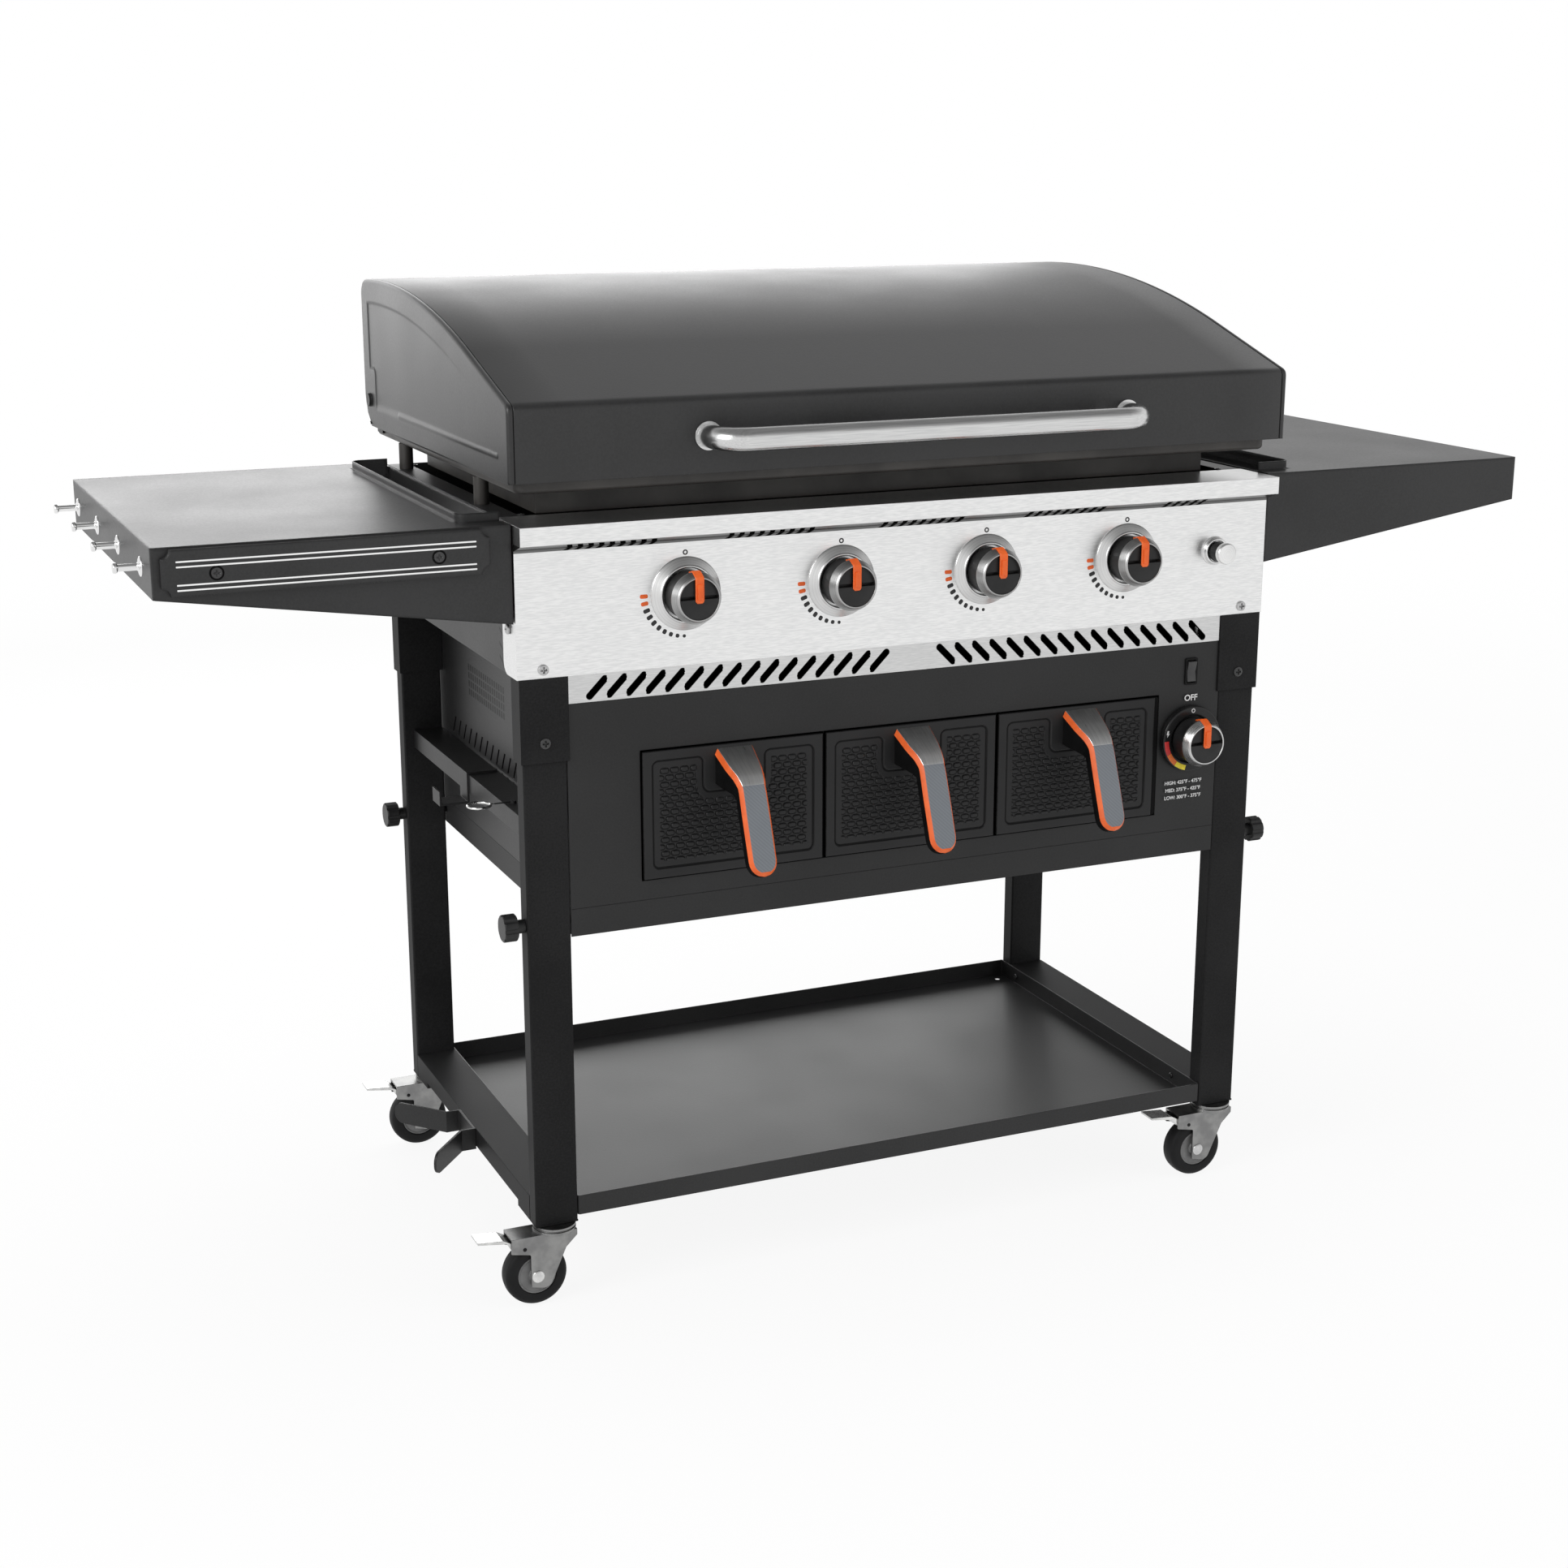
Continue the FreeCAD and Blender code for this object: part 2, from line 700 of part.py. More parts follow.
def mirrored(distance):
    """Give the left and the right place of something that stands on both sides."""
    return ((-1, -distance), (1, distance))


def across(sign, inner, outer):
    """Give the low and high X of a piece on one side of the middle plane."""
    if sign > 0:
        return (inner, outer)
    return (-length(outer), -length(inner))


# The four legs are closed rectangular tubes; each takes a hand knob's screw near the cabinet.
def make_legs():
    legs = []
    for sign in (-1, 1):
        for y in (length(0), rear_leg_front):
            name = f"Leg{len(legs)}"
            leg = body(name)
            x = across(sign, leg_inner, half)
            pad(leg, "XY", [rectangle(x, (y, y + leg_depth))], leg_bottom, leg_top)
            round_edges(leg, leg_corner, along("Z"))
            inner_x = across(sign, leg_inner + leg_wall, half - leg_wall)
            inner_y = (y + leg_wall, y + leg_depth - leg_wall)
            pocket(leg, "XY", [rectangle(inner_x, inner_y)], leg_bottom + leg_wall, leg_top)
            hole = [circle(y + leg_middle, hand_knob_height, stem_rod_radius + running_clearance)]
            pocket(leg, "YZ", hole, *across(sign, leg_inner - 1, half + 1))
            legs.append(leg)
    finish(group("Legs", legs), "legs")


# Sheet sleeves under the burner box hold the tops of the legs.
def make_leg_sockets():
    sockets = []
    room = socket_clearance + socket_wall
    for sign in (-1, 1):
        for y in (length(0), rear_leg_front):
            name = f"Socket{len(sockets)}"
            outer = block(f"{name}Outer", across(sign, leg_inner - room, half + room),
                          (y - room, y + leg_depth + room), (socket_bottom, cabinet_top))
            clear = socket_clearance
            inner = block(f"{name}Inner", across(sign, leg_inner - clear, half + clear),
                          (y - clear, y + leg_depth + clear),
                          (socket_bottom - 1, leg_top + clear))
            sockets.append(cut(name, outer, [inner]))
    finish(group("Sockets", sockets), "leg_sockets")


# On each side a channel rail joins two legs, with a caster plate welded under each leg.
def make_bottom_frame():
    sides = []
    for sign in (-1, 1):
        name = f"SideFrame{sign + 1}"
        x = across(sign, leg_inner, half)
        rail_top = rail_bottom + rail_height
        rail = block(f"{name}Rail", x, (leg_depth, rear_leg_front), (rail_bottom, rail_top))
        inner = block(f"{name}Channel", across(sign, leg_inner + rail_wall, half - rail_wall),
                      (plate_depth, stand_depth - plate_depth),
                      (rail_bottom - 1, rail_top - rail_wall))
        channel = cut(f"{name}Open", rail, [inner])
        plates = []
        for front, back, foot in ((length(0), plate_depth, (leg_depth, plate_depth)),
                                  (stand_depth - plate_depth, stand_depth,
                                   (stand_depth - plate_depth, rear_leg_front))):
            number = len(plates)
            plates.append(block(f"{name}Plate{number}", x, (front, back),
                                (leg_bottom - plate_thickness, leg_bottom)))
            plates.append(block(f"{name}Foot{number}", x, foot, (leg_bottom, rail_bottom)))
        sides.append(fuse(name, [channel] + plates))
    finish(group("BottomFrame", sides), "bottom_frame")


# The bottom shelf is a folded tray between the rails, with a drain hole at the back.
def make_bottom_shelf():
    tray = body("Tray")
    edge = leg_inner - socket_clearance
    x = (-edge, edge)
    top = rail_bottom + rail_height
    pad(tray, "XY", [rectangle(x, (length(0), stand_depth))], rail_bottom, top)
    round_edges(tray, tray_corner, along("Z"))
    inner = rounded((x[0] + tray_wall, x[1] - tray_wall),
                    (tray_wall, stand_depth - tray_wall), tray_corner - tray_wall)
    pocket(tray, "XY", [inner], rail_bottom + tray_wall, top)
    drain = circle(edge - drain_inset, stand_depth - drain_inset, drain_radius)
    pocket(tray, "XY", [drain], rail_bottom - 1, rail_bottom + tray_wall)
    finish(tray, "bottom_shelf")


# One swivel caster: fork with its ball race, wheel with a dished hub, and brake pedal.
def make_caster(label, x, y):
    name = label.title().replace("_", "")
    hub_x = x - caster_trail
    inner = wheel_width / 2 + fork_gap
    outer = inner + fork_sheet
    front = x + swivel_radius - fork_sheet
    nose = x - fork_nose
    heel = hub_x - fork_heel_reach
    arm_low = fork_top - fork_arm_height
    pivot_x = x - pedal_pivot_reach
    pivot_z = fork_top - pedal_pivot_drop
    cheeks = []
    for low, high in ((y - outer, y - inner), (y + inner, y + outer)):
        cheek = body(f"{name}Cheek{len(cheeks)}")
        profile = [
            (heel, wheel_radius - fork_heel_drop),
            (hub_x + fork_toe_reach, wheel_radius - fork_toe_drop, fork_toe_radius),
            (hub_x + fork_waist_reach, wheel_radius - fork_waist_drop),
            (hub_x + fork_shoulder_reach, wheel_radius + fork_shoulder_rise),
            (front, fork_top - fork_rim_height), (front, fork_top), (nose, fork_top),
            (nose, fork_top - fork_nose_height),
            (heel - fork_corner_radius, arm_low, -fork_corner_radius),
            (heel, arm_low - fork_corner_radius),
        ]
        pad(cheek, "XZ", [profile], low, high)
        cheeks.append(cheek)
    race_top = leg_bottom - plate_thickness - play
    crown = block(f"{name}Crown", (nose, front), (y - outer, y + outer),
                  (fork_top, fork_top + fork_sheet))
    step = (race_top - fork_top - fork_sheet) / 3
    race = rod(f"{name}Race", "Z", (x, y), swivel_radius - fork_sheet, fork_top, race_top)
    rings = [rod(f"{name}RaceLow", "Z", (x, y), swivel_radius, fork_top + fork_sheet,
                 fork_top + fork_sheet + step),
             rod(f"{name}RaceHigh", "Z", (x, y), swivel_radius, race_top - step, race_top)]
    axle = rod(f"{name}Axle", "Y", (hub_x, wheel_radius), axle_radius,
               y - outer - axle_radius / 2, y + outer + axle_radius / 2)
    pin = rod(f"{name}PedalPin", "Y", (pivot_x, pivot_z), pedal_pin_radius, y - outer, y + outer)
    finish(fuse(f"{name}Fork", cheeks + [crown, race, axle, pin] + rings), f"{label}_fork")

    wheel = body(f"{name}Wheel")
    face = wheel_width / 2
    pad(wheel, "XZ", [circle(hub_x, wheel_radius, wheel_radius)], y - face, y + face)
    round_edges(wheel, wheel_width / 6, lambda edge: edge.Curve.TypeId == "Part::GeomCircle")
    dish = [circle(hub_x, wheel_radius, wheel_hub_radius),
            circle(hub_x, wheel_radius, axle_radius * 2)]
    pocket(wheel, "XZ", dish, y - face - 1, y - face + wheel_width / 12)
    pocket(wheel, "XZ", dish, y + face - wheel_width / 12, y + face + 1)
    bore = circle(hub_x, wheel_radius, axle_radius + running_clearance)
    pocket(wheel, "XZ", [bore], y - wheel_width, y + wheel_width)
    finish(wheel, f"{label}_wheel")

    pedal = body(f"{name}Pedal")
    tip = x - pedal_reach
    boss = pedal_pin_radius * 2.4
    profile = [
        (pivot_x + boss, pivot_z - boss), (pivot_x + boss, pivot_z + boss),
        (pivot_x - boss, pivot_z + boss), (nose - boss * 2, fork_top + fork_sheet),
        (tip, fork_top + fork_sheet * 2), (tip, fork_top + fork_sheet),
        (nose - boss, fork_top - fork_sheet), (pivot_x - boss, pivot_z - boss),
    ]
    pedal_half = inner - play
    pad(pedal, "XZ", [profile], y - pedal_half, y + pedal_half)
    hole = circle(pivot_x, pivot_z, pedal_pin_radius + running_clearance)
    pocket(pedal, "XZ", [hole], y - pedal_half - 1, y + pedal_half + 1)
    finish(pedal, f"{label}_pedal")


# The pan under the fryer closes its bottom; its top edge shows as a crease round the cabinet.
def make_fryer_base():
    pan = body("FryerBase")
    top = cabinet_crease - socket_clearance
    x = (-leg_inner + socket_clearance, leg_inner - socket_clearance)
    wall_x = (-cabinet_half, cabinet_half)
    pad(pan, "XY", [rectangle(x, (length(0), cabinet_wall))], cabinet_bottom, top)
    pad(pan, "XY", [rectangle(wall_x, (cabinet_wall, cabinet_depth))], cabinet_bottom, top)
    inner_x = (wall_x[0] + cabinet_wall, wall_x[1] - cabinet_wall)
    inner_y = (cabinet_wall, cabinet_depth - cabinet_wall)
    pocket(pan, "XY", [rectangle(inner_x, inner_y)], cabinet_bottom + cabinet_wall, top)
    for y in (leg_middle, stand_depth - leg_middle):
        hole = circle(y, hand_knob_height, stem_rod_radius + running_clearance)
        pocket(pan, "YZ", [hole], -half, half)
    finish(pan, "fryer_base")


# The fryer's front sheet, with one opening for the three drawers, is notched round the sockets.
def make_fryer_panel():
    panel = body("FryerPanel")
    wide = leg_inner - socket_clearance
    narrow = cabinet_half
    step = socket_bottom - socket_clearance
    top = strip_bottom - socket_clearance
    outline = [
        (-wide, cabinet_crease), (wide, cabinet_crease), (wide, step), (narrow, step),
        (narrow, top), (-narrow, top), (-narrow, step), (-wide, step),
    ]
    pad(panel, "XZ", [outline], length(0), cabinet_wall)
    opening = rectangle((-drawer_half, drawer_half),
                        (drawer_bottom, drawer_bottom + drawer_height))
    pocket(panel, "XZ", [opening], length(-1), cabinet_wall + 1)
    frame_x = switch_width / 2 - 1
    frame_z = switch_length / 2 - 1
    window = rectangle((switch_x - frame_x, switch_x + frame_x),
                       (switch_height - frame_z, switch_height + frame_z))
    stem = circle(fryer_knob_x, fryer_knob_height, stem_rod_radius * 1.5)
    pocket(panel, "XZ", [window, stem], length(-1), cabinet_wall + 1)
    finish(panel, "fryer_panel")


def slanted_slot(x, z, lean):
    """Outline a slot with round ends that leans by 45 degrees, to the right if lean is 1."""
    reach = (vent_length - vent_width) / (2 * math.sqrt(2))
    side = vent_width / (2 * math.sqrt(2))
    radius = vent_width / 2
    far = reach + side
    near = reach - side
    return [
        (x - near * lean, z - far), (x + far * lean, z + near, radius * lean),
        (x + far * lean, z + far, radius * lean), (x + near * lean, z + far),
        (x - far * lean, z - near, radius * lean), (x - far * lean, z - far, radius * lean),
    ]


# A stainless strip with two rows of slanted slots lets the fryer's hot air out at the top.
def make_vent_strip():
    strip = body("VentStrip")
    face = rectangle((-cabinet_half, cabinet_half), (strip_bottom, cabinet_top))
    pad(strip, "XZ", [face], -strip_proud, cabinet_wall)
    middle = (strip_bottom + cabinet_top) / 2
    for sign, place in mirrored(cabinet_half - vent_first):
        slot = pocket(strip, "XZ", [slanted_slot(place, middle, -sign)],
                      -strip_proud - 1, cabinet_wall + 1)
        row(strip, slot, "H_Axis", vent_pitch, vent_count, sign > 0)
    finish(strip, "vent_strip")


# The upper cabinet shell, with two rows of louvres pressed through each side.
def make_fryer_cabinet():
    shell = body("FryerCabinet")
    x = (-cabinet_half, cabinet_half)
    pad(shell, "XY", [rectangle(x, (cabinet_wall, cabinet_depth))], cabinet_crease, cabinet_top)
    room = rectangle((x[0] + cabinet_wall, x[1] - cabinet_wall),
                     (length(0), cabinet_depth - cabinet_wall))
    pocket(shell, "XY", [room], cabinet_crease - 1, cabinet_top - cabinet_wall)
    pipe = riser_radius + socket_clearance
    pocket(shell, "XY", [circle(riser_x, valve_place + valve_size / 2, pipe)],
           cabinet_top - cabinet_wall * 2, cabinet_top + 1)
    pocket(shell, "XZ", [circle(riser_x, inlet_height, pipe)],
           cabinet_depth - cabinet_wall * 2, cabinet_depth + 1)
    louvre_top = louvre_low + louvre_height
    first = louvre_first
    leaning = [
        (first + louvre_lean, louvre_low), (first + louvre_lean + louvre_width, louvre_low),
        (first + louvre_width, louvre_top), (first, louvre_top),
    ]
    louvre = pocket(shell, "YZ", [leaning], -half, half)
    row(shell, louvre, "H_Axis", vent_pitch, louvre_count)
    low_top = louvre_low - louvre_width
    leaning = [
        (first, low_top - louvre_height), (first + louvre_width, low_top - louvre_height),
        (first + louvre_lean + louvre_width, low_top), (first + louvre_lean, low_top),
    ]
    louvre = pocket(shell, "YZ", [leaning], -half, half)
    row(shell, louvre, "H_Axis", vent_pitch, louvre_low_count)
    finish(shell, "fryer_cabinet")


# The liner behind the front sheet: one room for each drawer, with two runners on its floor.
def make_drawer_bay():
    depth = drawer_depth + bay_room
    low = drawer_bottom - bay_wall
    high = drawer_bottom + drawer_height + bay_wall
    outer = block("BayOuter", (-drawer_half - bay_wall, drawer_half + bay_wall),
                  (cabinet_wall, depth + bay_wall), (low, high))
    rooms = []
    runners = []
    for place in (-1, 0, 1):
        middle = drawer_pitch * place
        room_half = drawer_pitch / 2 - bay_wall / 2
        rooms.append(block(f"BayRoom{place + 1}", (middle - room_half, middle + room_half),
                           (length(0), depth), (low + bay_wall, high - bay_wall)))
        for sign in (-1, 1):
            centre = middle + (drawer_pitch / 2 - basket_inset * 2) * sign
            runners.append(block(f"Runner{len(runners)}",
                                 (centre - runner_height, centre + runner_height),
                                 (cabinet_wall * 2, depth),
                                 (drawer_bottom, drawer_bottom + basket_lift - play)))
    bay = fuse("DrawerBay", [cut("BayOpen", outer, rooms)] + runners)
    finish(bay, "drawer_bay")


# A drawer is a sheet basket on a front plate that fills its share of the opening.
def make_drawer(label, middle):
    drawer = body(label.title().replace("_", ""))
    face_half = (drawer_pitch - drawer_gap) / 2
    face_low = drawer_bottom + drawer_gap / 2
    face_high = drawer_bottom + drawer_height - drawer_gap / 2
    back = cabinet_wall - play
    face = rounded((middle - face_half, middle + face_half), (face_low, face_high), drawer_gap)
    pad(drawer, "XZ", [face], -drawer_proud, back)
    basket_half = drawer_pitch / 2 - basket_inset
    low = drawer_bottom + basket_lift
    outer = rectangle((middle - basket_half, middle + basket_half), (back, drawer_depth))
    pad(drawer, "XY", [outer], low, low + basket_height)
    inner = rectangle((middle - basket_half + drawer_sheet, middle + basket_half - drawer_sheet),
                      (back + drawer_sheet, drawer_depth - drawer_sheet))
    pocket(drawer, "XY", [inner], low + drawer_sheet, low + basket_height + 1)
    finish(drawer, label)


# A drawer handle comes out of the top of the front plate, bends down and ends in a round tip.
def make_drawer_handle(label, middle):
    name = label.title().replace("_", "")
    fall = handle_shoulder_height - handle_tip
    run = handle_reach - handle_shoulder
    slant = square_root(fall * fall + run * run)
    back_y = handle_thickness * fall / slant
    back_z = handle_thickness * run / slant
    side = body(f"{name}Side")
    profile = [
        (-drawer_proud, handle_top - handle_root_foot), (-drawer_proud, handle_top),
        (-drawer_proud - handle_thickness / 2, handle_top),
        (-handle_shoulder, handle_shoulder_height), (-handle_reach, handle_tip),
        (-handle_reach + back_y, handle_tip - back_z),
        (-handle_shoulder + back_y, handle_shoulder_height - back_z * 3),
    ]
    pad(side, "YZ", [profile], middle - handle_root_width, middle + handle_root_width)
    front = body(f"{name}Front")
    root = handle_root_width / 2
    neck = handle_neck_width / 2
    tip = handle_tip_width / 2
    tip_low = handle_tip - back_z
    outline = [
        (middle - tip, tip_low + tip), (middle, tip_low), (middle + tip, tip_low + tip),
        (middle + neck, handle_shoulder_height), (middle + root, handle_top),
        (middle - root, handle_top), (middle - neck, handle_shoulder_height),
    ]
    outline[0] = (*outline[0], tip)
    outline[1] = (*outline[1], tip)
    pad(front, "XZ", [outline], -handle_reach - 1, length(0))
    handle = doc.addObject("Part::Common", name)
    handle.Base = side
    handle.Tool = front
    finish(handle, label)


# The burner box: folded sheet sides and floor, a fire wall behind the valves, a rail for each
# side shelf, and a ledge for the grease cup at the back.
def make_burner_box():
    shell = body("BoxShell")
    x = (-box_half, box_half)
    wall = box_wall
    inner_x = (x[0] + wall, x[1] - wall)
    pad(shell, "XY", [rectangle(x, (length(0), box_depth))], cabinet_top, box_top)
    fire_back = firewall_place + wall
    pocket(shell, "XY", [rectangle(inner_x, (fire_back, box_depth - wall))],
           cabinet_top + wall, box_top + 1)
    pocket(shell, "XY", [rectangle(inner_x, (length(-1), firewall_place))],
           cabinet_top + wall, box_top + 1)
    pocket(shell, "XY", [rectangle((x[0] - 1, x[1] + 1), (length(-1), firewall_place))],
           box_top - panel_wall - play, box_top + 1)
    for sign in (-1, 1):
        flange = rectangle(across(sign, box_half - box_flange, box_half),
                           (firewall_place, box_depth))
        pad(shell, "XY", [flange], box_top - wall, box_top)
    pipe = riser_radius + socket_clearance
    pocket(shell, "XY", [circle(riser_x, valve_place + valve_size / 2, pipe)],
           cabinet_top - 1, cabinet_top + wall * 2)
    necks = [circle(place, knob_height, burner_neck + socket_clearance)
             for inset in (knob_inner, knob_outer) for sign, place in mirrored(inset)]
    pocket(shell, "XZ", necks, firewall_place - 1, fire_back + 1)
    rails = [block(f"ShelfRail{sign + 1}", across(sign, box_half, shelf_inner),
                   (skirt_front, post_back - hook_first), (shelf_top - shelf_edge, box_top - 20))
             for sign in (-1, 1)]
    cup_x = (grease_x - cup_width / 2, grease_x + cup_width / 2)
    ledge_z = plate_bottom - cup_height - play * 2
    ledge = block("CupLedge", cup_x, (box_depth, box_depth + cup_depth + play * 2),
                  (ledge_z - box_wall, ledge_z))
    finish(fuse("BurnerBox", [shell] + rails + [ledge]), "burner_box")


# The stainless front: a flat face, a bevel up to a wide lip, a top and two side returns.
def make_front_panel():
    panel = body("FrontPanel")
    wall = panel_wall
    bottom = cabinet_top
    top = box_top
    back = panel_return
    outline = [
        (-panel_face, bottom), (back - panel_corner, bottom, panel_corner),
        (back, bottom + panel_corner), (back, top), (-lip_reach, top),
        (-lip_reach, lip_bottom), (-panel_face, panel_bend),
    ]
    pad(panel, "YZ", [outline], -panel_half, panel_half)
    inside = [
        (-panel_face + wall, bottom - 1), (back + 1, bottom - 1), (back + 1, top - wall),
        (-lip_reach + wall, top - wall), (-lip_reach + wall, lip_bottom + wall),
        (-panel_face + wall, panel_bend + wall),
    ]
    pocket(panel, "YZ", [inside], -panel_half + wall, panel_half - wall)
    pad(panel, "XY", [rectangle((-panel_half, panel_half), (back, firewall_place))],
        top - wall, top)
    holes = [circle(place, knob_height, stem_rod_radius * 1.5)
             for inset in (knob_inner, knob_outer) for sign, place in mirrored(inset)]
    holes.append(circle(igniter_x, knob_height, stem_rod_radius * 1.5))
    pocket(panel, "XZ", holes, -panel_face - 1, -panel_face + wall + 1)
    lean = lip_slot_width
    near = -lip_reach + wall * 3
    far = -panel_face - wall * 3
    groups = int(lip_group_count.value)
    for number in range(groups + 1):
        start = lip_slot_first + lip_group_pitch * number
        count = lip_last_count if number == groups else lip_slot_count
        slot = [(start, near), (start + lip_slot_width, near),
                (start + lip_slot_width + lean, far), (start + lean, far)]
        group_cut = pocket(panel, "XY", [slot], panel_bend - 1, lip_bottom + wall + 3)
        row(panel, group_cut, "H_Axis", lip_slot_pitch, count)
    finish(panel, "front_panel")


# Shallow stainless cones stand round the knobs and the igniter button.
def make_bezels():
    rings = []
    for inset in (knob_inner, knob_outer):
        for sign, place in mirrored(inset):
            name = f"Bezel{len(rings)}"
            centre = (place, knob_height)
            front = -panel_face - bezel_height
            outer = cone(f"{name}Cone", "Y", centre, (bezel_inner + 3, bezel_radius),
                         front, -panel_face)
            room = rod(f"{name}Room", "Y", centre, bezel_inner, front - 1, -panel_face - 1)
            hole = rod(f"{name}Hole", "Y", centre, stem_rod_radius * 1.5,
                       -panel_face - 1, -panel_face + 1)
            rings.append(cut(name, outer, [fuse(f"{name}Bore", [room, hole])]))
    centre = (igniter_x, knob_height)
    front = -panel_face - bezel_height * 0.7
    outer = cone("IgniterBezelCone", "Y", centre, (igniter_bezel_radius - 2, igniter_bezel_radius),
                 front, -panel_face)
    room = rod("IgniterBezelRoom", "Y", centre, igniter_radius + play, front - 1, -panel_face - 1)
    hole = rod("IgniterBezelHole", "Y", centre, stem_rod_radius * 1.5,
               -panel_face - 1, -panel_face + 1)
    rings.append(cut("IgniterBezel", outer, [fuse("IgniterBezelBore", [room, hole])]))
    finish(group("Bezels", rings), "bezels")


# A gas knob: a round body, a bevelled rim, a sunk face and a raised pointer, on its valve stem.
def make_knob(label, x, z, face):
    name = label.title().replace("_", "")
    centre = (x, z)
    back = face + panel_face - knob_back
    front = face + panel_face - knob_front
    middle = (front + back) / 2
    shaft = rod(f"{name}Body", "Y", centre, knob_radius, middle, back)
    flare = cone(f"{name}Flare", "Y", centre, (knob_rim_radius, knob_radius),
                 middle - 4, middle)
    rim = cone(f"{name}Rim", "Y", centre, (knob_radius - 3, knob_rim_radius), front, middle - 4)
    solid = fuse(f"{name}Solid", [shaft, flare, rim])
    dish = rod(f"{name}Dish", "Y", centre, knob_radius - 4, front - 1, front + 5)
    bore = rod(f"{name}Bore", "Y", centre, stem_rod_radius + running_clearance,
               front + 12, back + 1)
    pointer = block(f"{name}Pointer", (x - 6, x + 6), (front - 1, front + 5.5),
                    (z - 2, z + knob_radius - 1))
    knob = fuse(name, [cut(f"{name}Open", solid, [dish, bore]), pointer])
    finish(knob, f"{label}_knob")
    stem = rod(f"{name}Stem", "Y", centre, stem_rod_radius, front + 12 + play,
               valve_place + knob_travel + 4)
    finish(group(f"{name}StemPiece", [stem]), f"{label}_stem")


# The push button of the igniter: a cap on a plunger that runs into the igniter behind.
def make_igniter_button():
    centre = (igniter_x, knob_height)
    back = -igniter_front + 16
    cap = rod("IgniterCap", "Y", centre, igniter_radius, -igniter_front, back)
    plunger = rod("IgniterPlunger", "Y", centre, stem_rod_radius, back, valve_place + 4)
    finish(fuse("IgniterButton", [cap, plunger]), "igniter_button")


# Gas train: a square manifold with a valve for each knob, the igniter, and a pipe that goes
# down the right side of the fryer to its valve and out at the back.
def make_gas_train():
    solids = []
    valve_y = (valve_place, valve_place + valve_size)
    pipe_y = valve_place + valve_size / 2
    centres = [(place, knob_height) for inset in (knob_inner, knob_outer)
               for sign, place in mirrored(inset)]
    centres += [(fryer_knob_x, fryer_knob_height)]
    for x, z in centres:
        name = f"Valve{len(solids)}"
        outer = block(name, (x - valve_size / 2, x + valve_size / 2), valve_y,
                      (z - valve_size / 2, z + valve_size / 2))
        bore = rod(f"{name}Bore", "Y", (x, z), stem_rod_radius + running_clearance,
                   valve_place - 1, valve_place + knob_travel * 4)
        solids.append(cut(f"{name}Open", outer, [bore]))
    module = rod("IgniterModule", "Y", (igniter_x, knob_height), igniter_radius - 2,
                 valve_place, firewall_place)
    plunger = rod("IgniterModuleBore", "Y", (igniter_x, knob_height),
                  stem_rod_radius + running_clearance, valve_place - 1,
                  valve_place + 6 + igniter_travel)
    solids.append(cut("IgniterModuleOpen", module, [plunger]))
    rail_top = knob_height - valve_size / 2
    rail = block("Manifold", (-knob_outer - manifold_drop, riser_x + manifold_radius),
                 (pipe_y - manifold_radius, pipe_y + manifold_radius),
                 (rail_top - manifold_radius * 2, rail_top))
    riser = rod("Riser", "Z", (riser_x, pipe_y), riser_radius,
                inlet_height, rail_top - manifold_radius)
    elbow = ball("RiserElbow", (riser_x, pipe_y, inlet_height), riser_radius + 2)
    run = rod("RiserRun", "Y", (riser_x, inlet_height), riser_radius, pipe_y,
              cabinet_depth + inlet_reach / 2)
    nut = rod("InletNut", "Y", (riser_x, inlet_height), inlet_radius + 4,
              cabinet_depth + play, cabinet_depth + inlet_reach / 3)
    thread = rod("InletThread", "Y", (riser_x, inlet_height), inlet_radius,
                 cabinet_depth + play, cabinet_depth + inlet_reach)
    branch = rod("FryerBranch", "X", (pipe_y, fryer_knob_height), stem_rod_radius,
                 fryer_knob_x + valve_size / 2, riser_x)
    solids.append(fuse("GasPipe", [rail, riser, elbow, run, nut, thread, branch]))
    finish(group("GasTrain", solids), "gas_train")


# Four straight tube burners under the plate, and one bent burner under the drawers.
def make_burners():
    solids = []
    for inset in (knob_inner, knob_outer):
        for sign, place in mirrored(inset):
            name = f"Burner{len(solids)}"
            centre = (place, knob_height)
            neck_end = skirt_front + burner_radius
            neck = rod(f"{name}Neck", "Y", centre, burner_neck, valve_place + valve_size, neck_end)
            tube = rod(f"{name}Tube", "Y", centre, burner_radius, neck_end, burner_end)
            tongue = block(f"{name}Tongue", (place - burner_neck, place + burner_neck),
                           (burner_end, box_depth - box_wall),
                           (knob_height - box_wall, knob_height + box_wall))
            solids.append(fuse(name, [neck, tube, tongue]))
    pipe_y = valve_place + valve_size / 2
    tube_radius = burner_neck * 0.7
    z = drawer_bottom - fryer_burner_gap
    down = rod("FryerDrop", "Z", (fryer_knob_x, pipe_y), tube_radius,
               z, fryer_knob_height - valve_size / 2)
    corner = ball("FryerCorner", (fryer_knob_x, pipe_y, z), tube_radius)
    inward = rod("FryerInward", "Y", (fryer_knob_x, z), tube_radius, pipe_y, fryer_burner_place)
    turn = ball("FryerTurn", (fryer_knob_x, fryer_burner_place, z), tube_radius)
    line = rod("FryerLine", "X", (fryer_burner_place, z), tube_radius, -drawer_half, fryer_knob_x)
    feet = [block(f"FryerFoot{number}", (x - 5, x + 5),
                  (fryer_burner_place - 5, fryer_burner_place + 5),
                  (cabinet_bottom + cabinet_wall, z))
            for number, x in enumerate((-drawer_pitch, drawer_pitch))]
    solids.append(fuse("FryerBurner", [down, corner, inward, turn, line] + feet))
    finish(group("Burners", solids), "burners")


